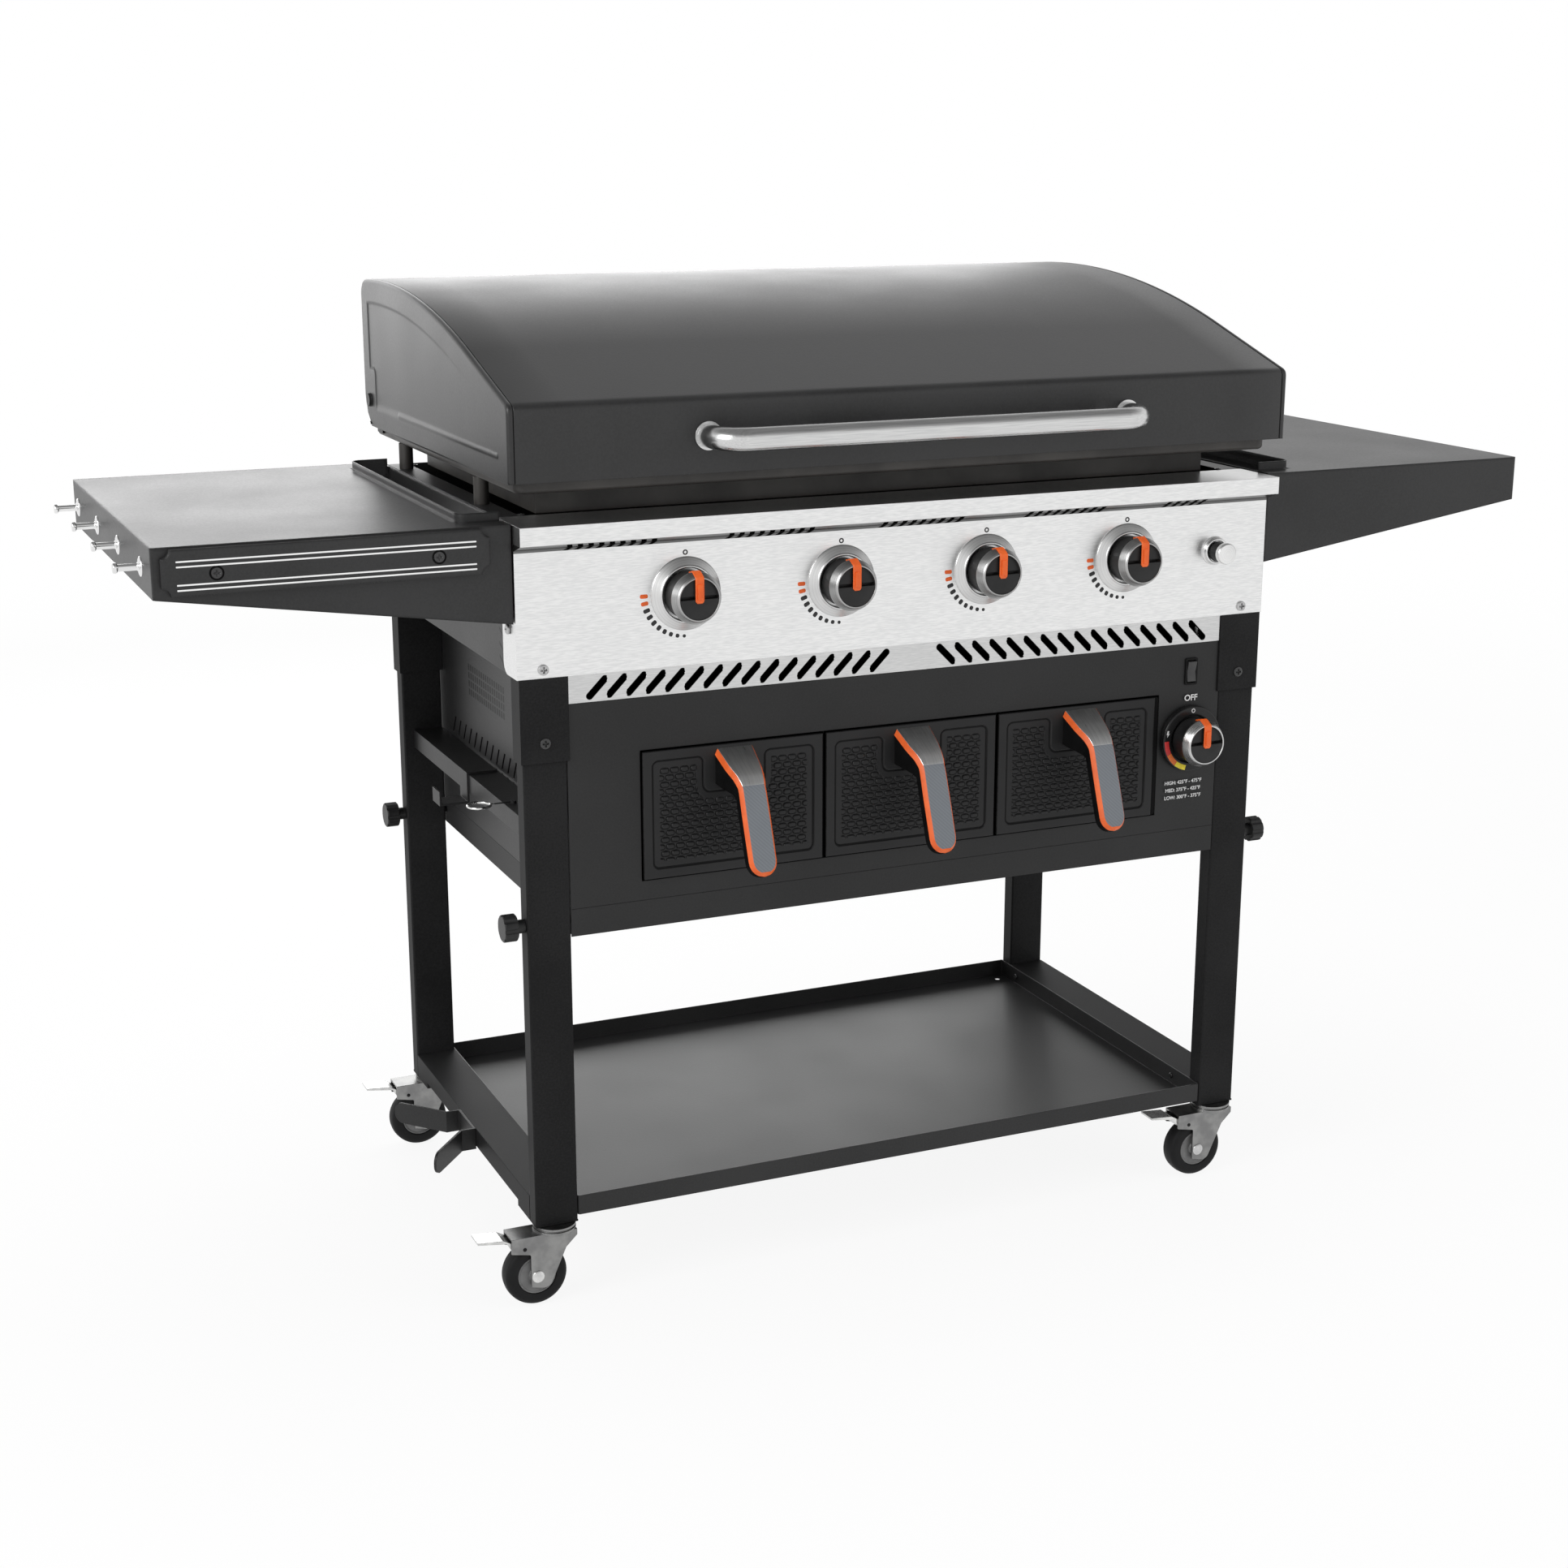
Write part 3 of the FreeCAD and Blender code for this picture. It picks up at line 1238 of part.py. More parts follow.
# The rocker switch: a bezel frame with a hollow body, and the rocker that tips on its pin.
def make_switch():
    housing = body("SwitchHousing")
    wide = switch_width / 2
    tall = switch_length / 2
    centre_x = (switch_x - wide, switch_x + wide)
    centre_z = (switch_height - tall, switch_height + tall)
    pad(housing, "XZ", [rounded(centre_x, centre_z, 2)], length(-2), length(0))
    neck = rectangle((switch_x - wide + 1.2, switch_x + wide - 1.2),
                     (switch_height - tall + 1.2, switch_height + tall - 1.2))
    pad(housing, "XZ", [neck], length(0), length(18))
    room = rectangle((switch_x - wide + 2.4, switch_x + wide - 2.4),
                     (switch_height - tall + 2.4, switch_height + tall - 2.4))
    pocket(housing, "XZ", [room], length(-3), length(14))
    hole = [circle(switch_pivot, switch_height, switch_pin + running_clearance)]
    pocket(housing, "YZ", hole, switch_x - wide, switch_x + wide)
    finish(housing, "switch_housing")

    rocker = body("RockerSwitch")
    rise = tall - 3.6
    outline = [
        (length(7), switch_height - rise + 4), (length(7), switch_height + rise - 4),
        (length(0), switch_height + rise), (length(-4.5), switch_height + rise - 0.6),
        (length(-1.5), switch_height), (length(-3), switch_height - rise + 0.6),
        (length(2), switch_height - rise),
    ]
    side = wide - 2.4 - play
    pad(rocker, "YZ", [outline], switch_x - side, switch_x + side)
    pad(rocker, "YZ", [circle(switch_pivot, switch_height, switch_pin)],
        switch_x - wide + 1.2, switch_x + wide - 1.2)
    finish(rocker, "rocker_switch")


# The griddle plate: a shallow steel pan with a low front rim, splash walls at its sides and
# back, a grease slot at the back, a skirt below, and four posts that stand on the box flanges.
def make_griddle_plate():
    pan = body("GriddlePan")
    side = plate_span / 2
    top = plate_bottom + rim_height
    floor = plate_bottom + plate_steel
    pad(pan, "XY", [rectangle((-side, side), (-plate_front, plate_back))], plate_bottom, top)
    round_edges(pan, rim_corner, along("Z"))
    low = [edge for edge in pan.Tip.Shape.Edges
           if abs(edge.BoundBox.ZMax - plate_bottom.value) < 1e-6]
    round_edges(pan, rim_edge, lambda edge: any(edge.isSame(other) for other in low))
    well = rounded((-side + rim_wall, side - rim_wall),
                   (rim_wall - plate_front, splash_back), rim_corner / 2)
    pocket(pan, "XY", [well], floor, top + 1)
    slot = rectangle((grease_x - grease_width / 2, grease_x + grease_width / 2),
                     (splash_back - grease_slot * 2, splash_back - grease_slot))
    pocket(pan, "XY", [slot], plate_bottom - 1, floor + 1)
    wall_x = side - rim_wall - splash_wall
    walls = [block("SplashBack", (-wall_x, wall_x), (splash_back - splash_wall, splash_back),
                   (floor, floor + splash_height))]
    for sign in (-1, 1):
        walls.append(block(f"SplashSide{sign + 1}",
                           across(sign, wall_x, wall_x + splash_wall),
                           (splash_front, splash_back), (floor, floor + splash_height)))
    skirt_x = side - skirt_inset
    ring = body("Skirt")
    pad(ring, "XY", [rectangle((-skirt_x, skirt_x), (skirt_front, skirt_back))],
        skirt_bottom, plate_bottom)
    hollow = rectangle((-skirt_x + skirt_wall, skirt_x - skirt_wall),
                       (skirt_front + skirt_wall, skirt_back - skirt_wall))
    pocket(ring, "XY", [hollow], skirt_bottom - 1, plate_bottom + 1)
    posts = [rod(f"Post{number}", "Z", (place, y), post_radius, box_top, plate_bottom)
             for number, (place, y) in enumerate(
                 (place, y) for sign, place in mirrored(side - post_inset)
                 for y in (post_front, post_back))]
    finish(fuse("GriddlePlate", [pan, ring] + walls + posts), "griddle_plate")


# The grease cup stands on its ledge behind the box, under the slot in the plate.
def make_grease_cup():
    cup = body("GreaseCup")
    y = (box_depth + play, box_depth + cup_depth)
    x = (grease_x - cup_width / 2, grease_x + cup_width / 2)
    low = plate_bottom - cup_height - play
    pad(cup, "XY", [rounded(x, y, 6)], low, plate_bottom - play * 2)
    inner = rounded((x[0] + cup_wall, x[1] - cup_wall), (y[0] + cup_wall, y[1] - cup_wall),
                    length(6) - cup_wall)
    pocket(cup, "XY", [inner], low + cup_wall, plate_bottom)
    finish(cup, "grease_cup")


def hood_profile(inset):
    """Give the hood's side outline, moved inwards by an inset.

    A flat front bends over the front corner into a straight slope, which runs on in one large
    arc, tangent to it, and over the rear corner down to the back.
    """
    rise = hood_apex_place - hood_bend
    arc_low = hood_apex - hood_arc
    drop = square_root(hood_arc * hood_arc - rise * rise)
    slope = rise / drop
    slant = square_root(1 + slope * slope)
    corner = arc_low + drop - slope * (hood_bend + hood_front)
    tangent = hood_front_corner * (slant - slope)
    rear_y = hood_back - hood_rear_corner
    reach = hood_arc - hood_rear_corner
    across_y = rear_y - hood_apex_place
    across_z = square_root(reach * reach - across_y * across_y)
    shrink = (hood_arc - inset) / reach
    return [
        (-hood_front + inset, hood_bottom),
        (-hood_front + inset, corner - tangent, inset - hood_front_corner),
        (-hood_front + (tangent + inset * slope) / slant,
         corner + (tangent * slope - inset) / slant),
        (hood_bend + inset * slope / slant, arc_low + drop - inset / slant,
         inset - hood_arc),
        (hood_apex_place + across_y * shrink, arc_low + across_z * shrink,
         inset - hood_rear_corner),
        (hood_back - inset, arc_low + across_z),
        (hood_back - inset, hood_bottom),
    ]


# The hood: one bent sheet between two end caps, which carry it on the hinge pins.
def make_hood():
    sheet_half = hood_half - hood_cap_width - socket_clearance
    shell = body("HoodSheet")
    inner = hood_profile(hood_wall)
    open_inner = [(inner[0][0], hood_bottom - 1), *inner[1:-1],
                  (inner[-1][0], hood_bottom - 1)]
    pad(shell, "YZ", [hood_profile(length(0))], -sheet_half, sheet_half)
    pocket(shell, "YZ", [open_inner], -sheet_half - 1, sheet_half + 1)
    below = rectangle((hood_back - hood_rear_corner, hood_back + 1),
                      (hood_bottom - 1, hood_rear_bottom))
    pocket(shell, "YZ", [below], -sheet_half - 1, sheet_half + 1)
    solids = [shell]
    for sign in (-1, 1):
        cap = body(f"HoodCap{sign + 1}")
        pad(cap, "YZ", [hood_profile(length(0))], *across(sign, sheet_half, hood_half))
        pocket(cap, "YZ", [open_inner], *across(sign, sheet_half - 1, hood_half - hood_wall))
        chamfer = [
            (hood_back - hood_chamfer * 2, hood_bottom - 1), (hood_back + 1, hood_bottom - 1),
            (hood_back + 1, hood_bottom + hood_chamfer * 3),
            (hood_back - hood_chamfer * 0.7, hood_bottom + hood_chamfer),
            (hood_back - hood_chamfer * 2, hood_bottom + 0.1),
        ]
        pocket(cap, "YZ", [chamfer], *across(sign, sheet_half - 1, hood_half + 1))
        hole = circle(hinge_place, hinge_height, hinge_pin_radius + running_clearance)
        pocket(cap, "YZ", [hole], *across(sign, sheet_half - 1, hood_half + 1))
        pocket(cap, "YZ", [below], *across(sign, sheet_half - 1, hood_half - hood_wall))
        solids.append(cap)
    finish(group("HoodShell", solids), "hood_shell")


# The hood's handle: one bent tube whose ends stand in two flange rings on the front.
def make_hood_handle():
    bar = body("HoodBar")
    foot = -hood_front
    line = -bar_place
    spine = draw(bar, "XY", [[
        (-bar_span, foot), (-bar_span, line + bar_bend, bar_bend), (-bar_span + bar_bend, line),
        (bar_span - bar_bend, line, bar_bend), (bar_span, line + bar_bend), (bar_span, foot),
    ]], bar_height, closed=False)
    feature = bar.newObject("PartDesign::AdditivePipe", "HoodBarPipe")
    feature.Profile = draw(bar, "XZ", [[circle(-bar_span, bar_height, bar_radius)]][0], foot)
    feature.Spine = (spine, [])
    doc.recompute()
    rings = []
    for sign, place in mirrored(bar_span):
        outer = rod(f"BarFlange{sign + 1}", "Y", (place, bar_height), bar_flange_radius,
                    foot - bar_flange_width, foot)
        hole = rod(f"BarFlangeHole{sign + 1}", "Y", (place, bar_height), bar_radius,
                   foot - bar_flange_width - 1, foot + 1)
        rings.append(cut(f"BarFlangeRing{sign + 1}", outer, [hole]))
    finish(group("HoodHandle", [bar] + rings), "hood_handle")


# A bracket on each side of the griddle plate's rim holds a shouldered pin, on which the hood's
# cap turns.
def make_hinges():
    solids = []
    for sign in (-1, 1):
        plate = body(f"HingePlate{sign + 1}")
        eye = hinge_pin_radius * 3
        foot = plate_bottom + rim_edge
        outline = [
            (hinge_place - eye, foot), (hinge_place + eye, foot),
            (hinge_place + eye, hinge_height, eye), (hinge_place, hinge_height + eye, eye),
            (hinge_place - eye, hinge_height),
        ]
        inner = plate_span / 2
        outer = inner + hinge_plate
        pad(plate, "YZ", [outline], *across(sign, inner, outer))
        solids.append(plate)
        centre = (hinge_place, hinge_height)
        spacer_end = hood_half - hood_wall - play
        head = hood_half + play
        spacer = rod(f"HingeSpacer{sign + 1}", "X", centre, hinge_pin_radius * 2,
                     *across(sign, outer, spacer_end))
        pin = rod(f"HingePin{sign + 1}", "X", centre, hinge_pin_radius,
                  *across(sign, outer, head + 3))
        cap = rod(f"HingeHead{sign + 1}", "X", centre, hinge_pin_radius * 2,
                  *across(sign, head, head + 3))
        solids.append(fuse(f"HingePinWhole{sign + 1}", [spacer, pin, cap]))
    finish(group("Hinges", solids), "hinges")


# A side shelf is a folded sheet pan, open below, whose apron is deeper towards the box. A cut
# in its top beside the griddle has a raised guard round it.
def make_shelf(label, sign):
    name = label.title().replace("_", "")
    shelf = body(f"{name}Pan")
    low_outer = shelf_top - shelf_edge
    low_inner = shelf_top - shelf_inner_edge
    wall = shelf_wall
    outline = [
        (shelf_inner * sign, low_inner), (shelf_outer * sign, low_outer),
        (shelf_outer * sign, shelf_top), (shelf_inner * sign, shelf_top),
    ]
    pad(shelf, "XZ", [outline], -shelf_front, shelf_back)
    round_edges(shelf, shelf_corner, lambda edge: along("Z")(edge)
                and abs(abs(edge.CenterOfMass.x) - shelf_outer.value) < 1e-6)
    room = rectangle(across(sign, shelf_inner + wall, shelf_outer - wall),
                     (-shelf_front + wall, shelf_back - wall))
    pocket(shelf, "XY", [room], low_inner - 1, shelf_top - wall)
    gap_x = across(sign, shelf_inner + wall, half + guard_reach)
    pocket(shelf, "XY", [rectangle(gap_x, (guard_front, guard_back))],
           shelf_top - wall * 2, shelf_top + 1)
    guard = body(f"{name}Guard")
    low = shelf_top - guard_depth
    high = shelf_top + guard_rise
    outer_x = across(sign, half + guard_end, half + guard_reach)
    pad(guard, "XY", [rectangle(outer_x, (guard_front, guard_back))], low, high)
    round_edges(guard, guard_corner, lambda edge: along("Z")(edge)
                and abs(abs(edge.CenterOfMass.x) - half.value - guard_reach.value) < 1e-6)
    inner_x = across(sign, half + guard_end - guard_corner, half + guard_reach - guard_wall)
    inner_y = (guard_front + guard_wall, guard_back - guard_wall)
    pocket(guard, "XY", [rounded(inner_x, inner_y, guard_corner - guard_wall)],
           low - 1, high + 1)
    finish(group(name, [shelf, guard]), label)


# A flat magnetic bar with notched corners on the left shelf's front apron.
def make_tool_bar():
    bar = body("ToolBar")
    left = -half - tool_bar_outer
    right = -half - tool_bar_inner
    low = tool_bar_bottom
    high = tool_bar_top
    notch = tool_bar_notch
    outline = [
        (left + notch, low), (right - notch, low, -notch), (right, low + notch),
        (right, high - notch, -notch), (right - notch, high), (left + notch, high, -notch),
        (left, high - notch), (left, low + notch, -notch),
    ]
    pad(bar, "XZ", [outline], -shelf_front - tool_bar_depth, -shelf_front)
    finish(bar, "tool_bar")


# Four pins for tools, each with a foot and a round head, stand out of the left shelf's edge.
def make_utensil_hooks():
    hooks = []
    for number in range(int(hook_count.value)):
        y = hook_first + hook_pitch * number
        tip = -shelf_outer - hook_reach
        name = f"Hook{number}"
        pin = rod(f"{name}Pin", "X", (y, hook_height), hook_rod, tip + hook_rod, -shelf_outer)
        bead = rod(f"{name}Head", "X", (y, hook_height), hook_bead, tip, tip + hook_rod)
        foot = rod(f"{name}Foot", "X", (y, hook_height), hook_flange,
                   -shelf_outer - hook_rod, -shelf_outer)
        hooks.append(fuse(name, [pin, bead, foot]))
    finish(group("UtensilHooks", hooks), "utensil_hooks")


def strip_outline(points, thickness):
    """Follow a chain of points and come back one thickness to its left."""
    corners = [Vector(length(x).value, length(y).value, 0) for x, y in points]
    runs = [(end - start).normalize() for start, end in zip(corners, corners[1:])]
    lefts = [Vector(-run.y, run.x, 0) for run in runs]
    back = []
    for number, corner in enumerate(corners):
        first = lefts[max(number - 1, 0)]
        second = lefts[min(number, len(lefts) - 1)]
        mitre = (first + second) / (1 + first.dot(second))
        back.append(corner + mitre * thickness.value)
    return corners + back[::-1]


# What holds a gas tank on the left: a rail between the legs, a strap hook bent over it, a
# two-armed cradle on the bottom rail, and a ring on a wire for the lighting match.
def make_tank_fittings():
    rail_x = (tank_rail_inset - half, -leg_inner)
    top = tank_rail_top
    rail_low = top - tank_rail_height
    outer = block("TankRailOuter", rail_x, (leg_depth, rear_leg_front), (rail_low, top))
    inner = block("TankRailInner", (rail_x[0] + rail_wall, rail_x[1] + 1),
                  (leg_depth - 1, rear_leg_front + 1), (rail_low - 1, top - rail_wall))
    rail = cut("TankRail", outer, [inner])

    hook = body("TankHook")
    sheet_x = rail_x[0] - tank_hook_sheet
    tip = sheet_x - tank_hook_reach
    strap = tank_hook_sheet
    outline = [
        (rail_x[1] - leg_corner, top), (rail_x[1] - leg_corner, top + strap),
        (sheet_x, top + strap), (sheet_x, tank_hook_low + strap), (tip + strap, tank_hook_low + strap),
        (tip + strap, tank_hook_tip), (tip, tank_hook_tip), (tip, tank_hook_low),
        (rail_x[0], tank_hook_low), (rail_x[0], top),
    ]
    pad(hook, "XZ", [outline], tank_hook_place, tank_hook_place + tank_hook_width)

    cradle = doc.addObject("Part::Feature", "TankCradle")
    tab = -half - cradle_tab
    base = -half - play
    wing = -half - cradle_wing_reach
    route = [
        (wing, cradle_front - cradle_wing_spread), (tab, cradle_front), (base, cradle_front),
        (base, cradle_back), (tab, cradle_back), (wing, cradle_back + cradle_wing_spread),
    ]
    points = strip_outline(route, cradle_sheet)
    face = Part.Face(Part.makePolygon(points + points[:1]))
    rail_top = rail_bottom + rail_height
    strip = face.extrude(Vector(0, 0, (rail_top - cradle_bottom).value))
    corners = [edge for edge in strip.Edges if edge.Length < cradle_sheet.value * 1.01
               and edge.BoundBox.XMax < tab.value - cradle_sheet.value]
    cradle.Shape = strip.makeFillet(cradle_round.value, corners)
    bind(cradle, "Placement.Base.z", cradle_bottom)

    ring_x = -half - ring_reach
    pin_x = ring_pin_inset - half
    ring_z = top + ring_wire
    ring = doc.addObject("Part::Torus", "MatchRing")
    bind(ring, "Radius1", ring_radius)
    bind(ring, "Radius2", ring_wire)
    put(ring, ring_x, ring_place, ring_z)
    link = rod("MatchWire", "X", (ring_place, ring_z), ring_wire / 2, ring_x + ring_radius, pin_x)
    stud = rod("MatchStud", "Z", (pin_x, ring_place), ring_wire * 2, top, ring_z + ring_wire)
    match_ring = fuse("MatchHolder", [ring, link, stud])
    finish(group("TankFittings", [rail, hook, cradle, match_ring]), "tank_fittings")


# A hand knob: a fluted plastic head, a neck, and a screw through the leg into the fryer pan.
def make_hand_knob(label, sign, y):
    knob = body(label.title().replace("_", ""))
    near = hand_knob_neck * sign
    far = (hand_knob_neck + hand_knob_width) * sign
    low, high = (near, far) if sign > 0 else (far, near)
    pad(knob, "YZ", [circle(0, 0, hand_knob_radius)], low, high)
    round_edges(knob, flute_radius / 2, lambda edge: edge.Curve.TypeId == "Part::GeomCircle")
    flute = pocket(knob, "YZ", [circle(hand_knob_radius + flute_radius / 2, 0, flute_radius)],
                   low - 1, high + 1)
    ring = knob.newObject("PartDesign::PolarPattern", f"{knob.Name}Flutes")
    ring.Originals = [flute]
    ring.Axis = (flute.Profile[0], ["N_Axis"])
    bind(ring, "Occurrences", flute_count)
    knob.Tip = ring
    doc.recompute()
    ends = sorted((near, play * sign), key=lambda place: place.value)
    pad(knob, "YZ", [circle(0, 0, hand_knob_radius / 2)], *ends)
    screw_end = -(leg_width + cabinet_wall * 10) * sign
    ends = sorted((play * sign, screw_end), key=lambda place: place.value)
    pad(knob, "YZ", [circle(0, 0, stem_rod_radius)], *ends)
    finish(knob, label, x=half * sign, y=y, z=hand_knob_height)


# Round screw and bolt heads, all in one group; each lies on the sheet that it holds.
def make_screws():
    heads = []

    def head(axis, centre, low, high, radius=screw_head):
        heads.append(rod(f"Screw{len(heads)}", axis, centre, radius, low, high))

    socket_face = -socket_clearance - socket_wall
    bolt = screw_head * 0.6
    tray_edge = leg_inner - socket_clearance - tray_wall
    for sign in (-1, 1):
        middle = (half - leg_width / 2) * sign
        head("Y", (middle, socket_bottom + leg_middle), socket_face - screw_rise, socket_face)
        head("Y", (middle, cabinet_top + screw_head * 1.6), -panel_face - screw_rise, -panel_face)
        head("X", (panel_return / 2, knob_height - valve_size),
             *across(sign, panel_half, panel_half + shelf_wall))
        for y in (plate_depth - 5, stand_depth - plate_depth + 23):
            head("X", (y, rail_bottom + rail_height / 2),
                 *across(sign, tray_edge - screw_rise, tray_edge), radius=bolt)
        for y in (firewall_place + screw_head, box_depth - leg_depth):
            head("Z", (middle, y), box_top, box_top + screw_rise / 2, radius=bolt)
    bar_face = -shelf_front - tool_bar_depth
    tool_bar_middle = (tool_bar_bottom + tool_bar_top) / 2
    for x in (-half - tool_bar_outer * 0.85, -half - tool_bar_inner * 2.75):
        head("Y", (x, tool_bar_middle), bar_face - screw_rise / 2, bar_face, radius=bolt)
    hook_face = tank_rail_inset - half - tank_hook_sheet
    head("X", (tank_hook_place + tank_hook_width * 0.8, (tank_hook_low + tank_rail_top) / 2),
         hook_face - screw_rise, hook_face, radius=bolt)
    finish(group("Screws", heads), "screws")


make_legs()
make_leg_sockets()
make_bottom_frame()
make_bottom_shelf()
leg_centre = half - leg_width / 2
rear_middle = stand_depth - leg_middle
for side, sign in (("left", -1), ("right", 1)):
    for end, place in (("front", leg_middle), ("rear", rear_middle)):
        make_caster(f"{side}_{end}", leg_centre * sign, place)
        make_hand_knob(f"{side}_{end}_hand_knob", sign, place)
make_fryer_base()
make_fryer_panel()
make_vent_strip()
make_fryer_cabinet()
make_drawer_bay()
for number in (1, 2, 3):
    make_drawer(f"drawer_{number}", drawer_pitch * (number - 2))
    make_drawer_handle(f"drawer_handle_{number}", drawer_pitch * (number - 2))
make_burner_box()
make_front_panel()
make_bezels()
for number, place in enumerate((-knob_outer, -knob_inner, knob_inner, knob_outer), 1):
    make_knob(f"burner_{number}", place, knob_height, -panel_face)
make_knob("fryer", fryer_knob_x, fryer_knob_height, length(0))
make_igniter_button()
make_switch()
make_gas_train()
make_burners()
make_griddle_plate()
make_grease_cup()
make_hood()
make_hood_handle()
make_hinges()
make_shelf("left_shelf", -1)
make_shelf("right_shelf", 1)
make_tool_bar()
make_utensil_hooks()
make_tank_fittings()
make_screws()

doc.recompute()
failed = [item.Name for item in doc.Objects if {"Invalid", "Error"} & set(item.State)]
if failed:
    raise ValueError(f"not recomputed: {failed}")
for piece in pieces:
    if piece.Shape.isNull() or not piece.Shape.isValid():
        raise ValueError(f"{piece.Label} has no valid shape")
os.makedirs("parts", exist_ok=True)
for piece in pieces:
    piece.Shape.exportStep(f"parts/{piece.Label}.step")
    box = piece.Shape.BoundBox
    print(f"{piece.Label:24s} {len(piece.Shape.Solids):3d} solids, "
          f"X {box.XMin:7.1f} {box.XMax:7.1f}, Y {box.YMin:7.1f} {box.YMax:7.1f}, "
          f"Z {box.ZMin:7.1f} {box.ZMax:7.1f}")
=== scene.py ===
import math
from functools import partialmethod

import bmesh
import bpy
import numpy as np
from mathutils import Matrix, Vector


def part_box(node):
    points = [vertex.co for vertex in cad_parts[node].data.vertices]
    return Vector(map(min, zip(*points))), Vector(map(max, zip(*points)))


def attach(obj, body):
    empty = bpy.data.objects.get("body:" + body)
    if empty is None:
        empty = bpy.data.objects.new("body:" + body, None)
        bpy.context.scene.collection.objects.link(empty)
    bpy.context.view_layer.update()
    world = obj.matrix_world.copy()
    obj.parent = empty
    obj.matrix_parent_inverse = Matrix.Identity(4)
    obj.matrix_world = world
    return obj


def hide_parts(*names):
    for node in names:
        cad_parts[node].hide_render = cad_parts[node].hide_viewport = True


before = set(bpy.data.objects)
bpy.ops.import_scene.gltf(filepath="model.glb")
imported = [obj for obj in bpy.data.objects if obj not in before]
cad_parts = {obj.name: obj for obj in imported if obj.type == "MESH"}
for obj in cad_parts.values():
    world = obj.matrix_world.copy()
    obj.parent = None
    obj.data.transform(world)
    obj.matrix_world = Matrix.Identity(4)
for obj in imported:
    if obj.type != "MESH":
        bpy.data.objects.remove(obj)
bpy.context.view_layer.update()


# The griddle station stands on a plain white studio floor. The camera looks at its left front
# corner from a little above the hood; large soft lamps hang left, right, overhead and behind.
def add(name, data):
    """Put a new object into the scene."""
    thing = bpy.data.objects.new(name, data)
    bpy.context.scene.collection.objects.link(thing)
    return thing


camera = add("camera", bpy.data.cameras.new("camera"))
camera.data.lens = 55.79
camera.data.sensor_width = 36
camera.location = (-1.2205, -2.68119, 1.3142)
camera.rotation_euler = (math.radians(90 - 15.231), 0, math.radians(-23.733))
bpy.context.scene.camera = camera
bpy.context.scene.view_settings.view_transform = "Standard"


class Wire:
    """One socket of a shader, which adds, subtracts, multiplies and divides like a number."""

    def __init__(self, tree, socket=None):
        self.tree = tree
        self.socket = socket

    def node(self, kind, settings, sockets, output=0):
        """Add a node: its settings first, then the values or the links of its sockets."""
        node = self.tree.nodes.new(kind)
        for name, value in settings.items():
            setattr(node, name, value)
        for name, value in sockets.items():
            if isinstance(value, Wire):
                self.tree.links.new(value.socket, node.inputs[name])
            else:
                node.inputs[name].default_value = value
        return Wire(self.tree, node.outputs[output])

    def math(self, operation, *values):
        """Work out one step of arithmetic on this wire and more wires or numbers."""
        sockets = dict(enumerate((self, *values)))
        return self.node("ShaderNodeMath", {"operation": operation}, sockets)

    __add__ = __radd__ = partialmethod(math, "ADD")
    __sub__ = partialmethod(math, "SUBTRACT")
    __rsub__ = partialmethod(math, "MULTIPLY_ADD", -1)
    __mul__ = __rmul__ = partialmethod(math, "MULTIPLY")
    __truediv__ = partialmethod(math, "DIVIDE")
    __abs__ = partialmethod(math, "ABSOLUTE")

    def cell(self, pitch):
        """Give how far this is past the last whole multiple of a pitch."""
        return self.math("FLOORED_MODULO", pitch)

    def rise(self, low, high):
        """Go smoothly from 0 at low to 1 at high."""
        sockets = {"Value": self, "From Min": low, "From Max": high}
        return self.node("ShaderNodeMapRange", {"interpolation_type": "SMOOTHSTEP"}, sockets)

    def fall(self, low, high):
        """Go smoothly from 1 at low to 0 at high."""
        return 1 - self.rise(low, high)

    def between(self, low, high, ease):
        """Be 1 from low to high; at either a smooth step begins, as wide as the ease."""
        return self.rise(low, low + ease) * self.fall(high, high + ease)

    def blend(self, first, second):
        """Give the first colour where this wire is 0 and the second where it is 1."""
        sockets = {0: self, 6: first, 7: second}
        return self.node("ShaderNodeMix", {"data_type": "RGBA"}, sockets, 2)

    def axis(self, name):
        """Take X, Y or Z of a place."""
        return self.node("ShaderNodeSeparateXYZ", {}, {0: self}, name)

    def noise(self, scale, detail=2.0):
        """Read cloudy noise at a place; scale is in waves a metre, one number or one an axis."""
        if not isinstance(scale, tuple):
            scale = (scale, scale, scale)
        spread = self.node("ShaderNodeVectorMath", {"operation": "MULTIPLY"}, {0: self, 1: scale})
        sockets = {"Vector": spread, "Scale": 1.0, "Detail": detail}
        return self.node("ShaderNodeTexNoise", {}, sockets)

    def bump(self, depth, strength=1.0, rounding=0.0):
        """Turn a height of 0 to 1 into a normal; edges look rounded by a radius in metres."""
        sockets = {"Height": self, "Distance": depth, "Strength": strength}
        if rounding:
            sockets["Normal"] = self.node("ShaderNodeBevel", {"samples": 4}, {"Radius": rounding})
        return self.node("ShaderNodeBump", {}, sockets)


def tint(shade, *parts):
    """Make a grey of one shade, or a colour whose red, green and blue are parts of the shade."""
    return (*(shade * part for part in parts or (1, 1, 1)), 1)


def new_finish(name, colour, roughness, metallic=0.0, **constants):
    """Start a material with plain values; give it, its shader and the piece's own places."""
    material = bpy.data.materials.new(name)
    material.use_nodes = True
    tree = material.node_tree
    shader = tree.nodes["Principled BSDF"]
    constants.update(Base_Color=colour, Roughness=roughness, Metallic=metallic)
    for socket, value in constants.items():
        shader.inputs[socket.replace("_", " ")].default_value = value
    return material, shader, Wire(tree).node("ShaderNodeTexCoord", {}, {}, "Object")


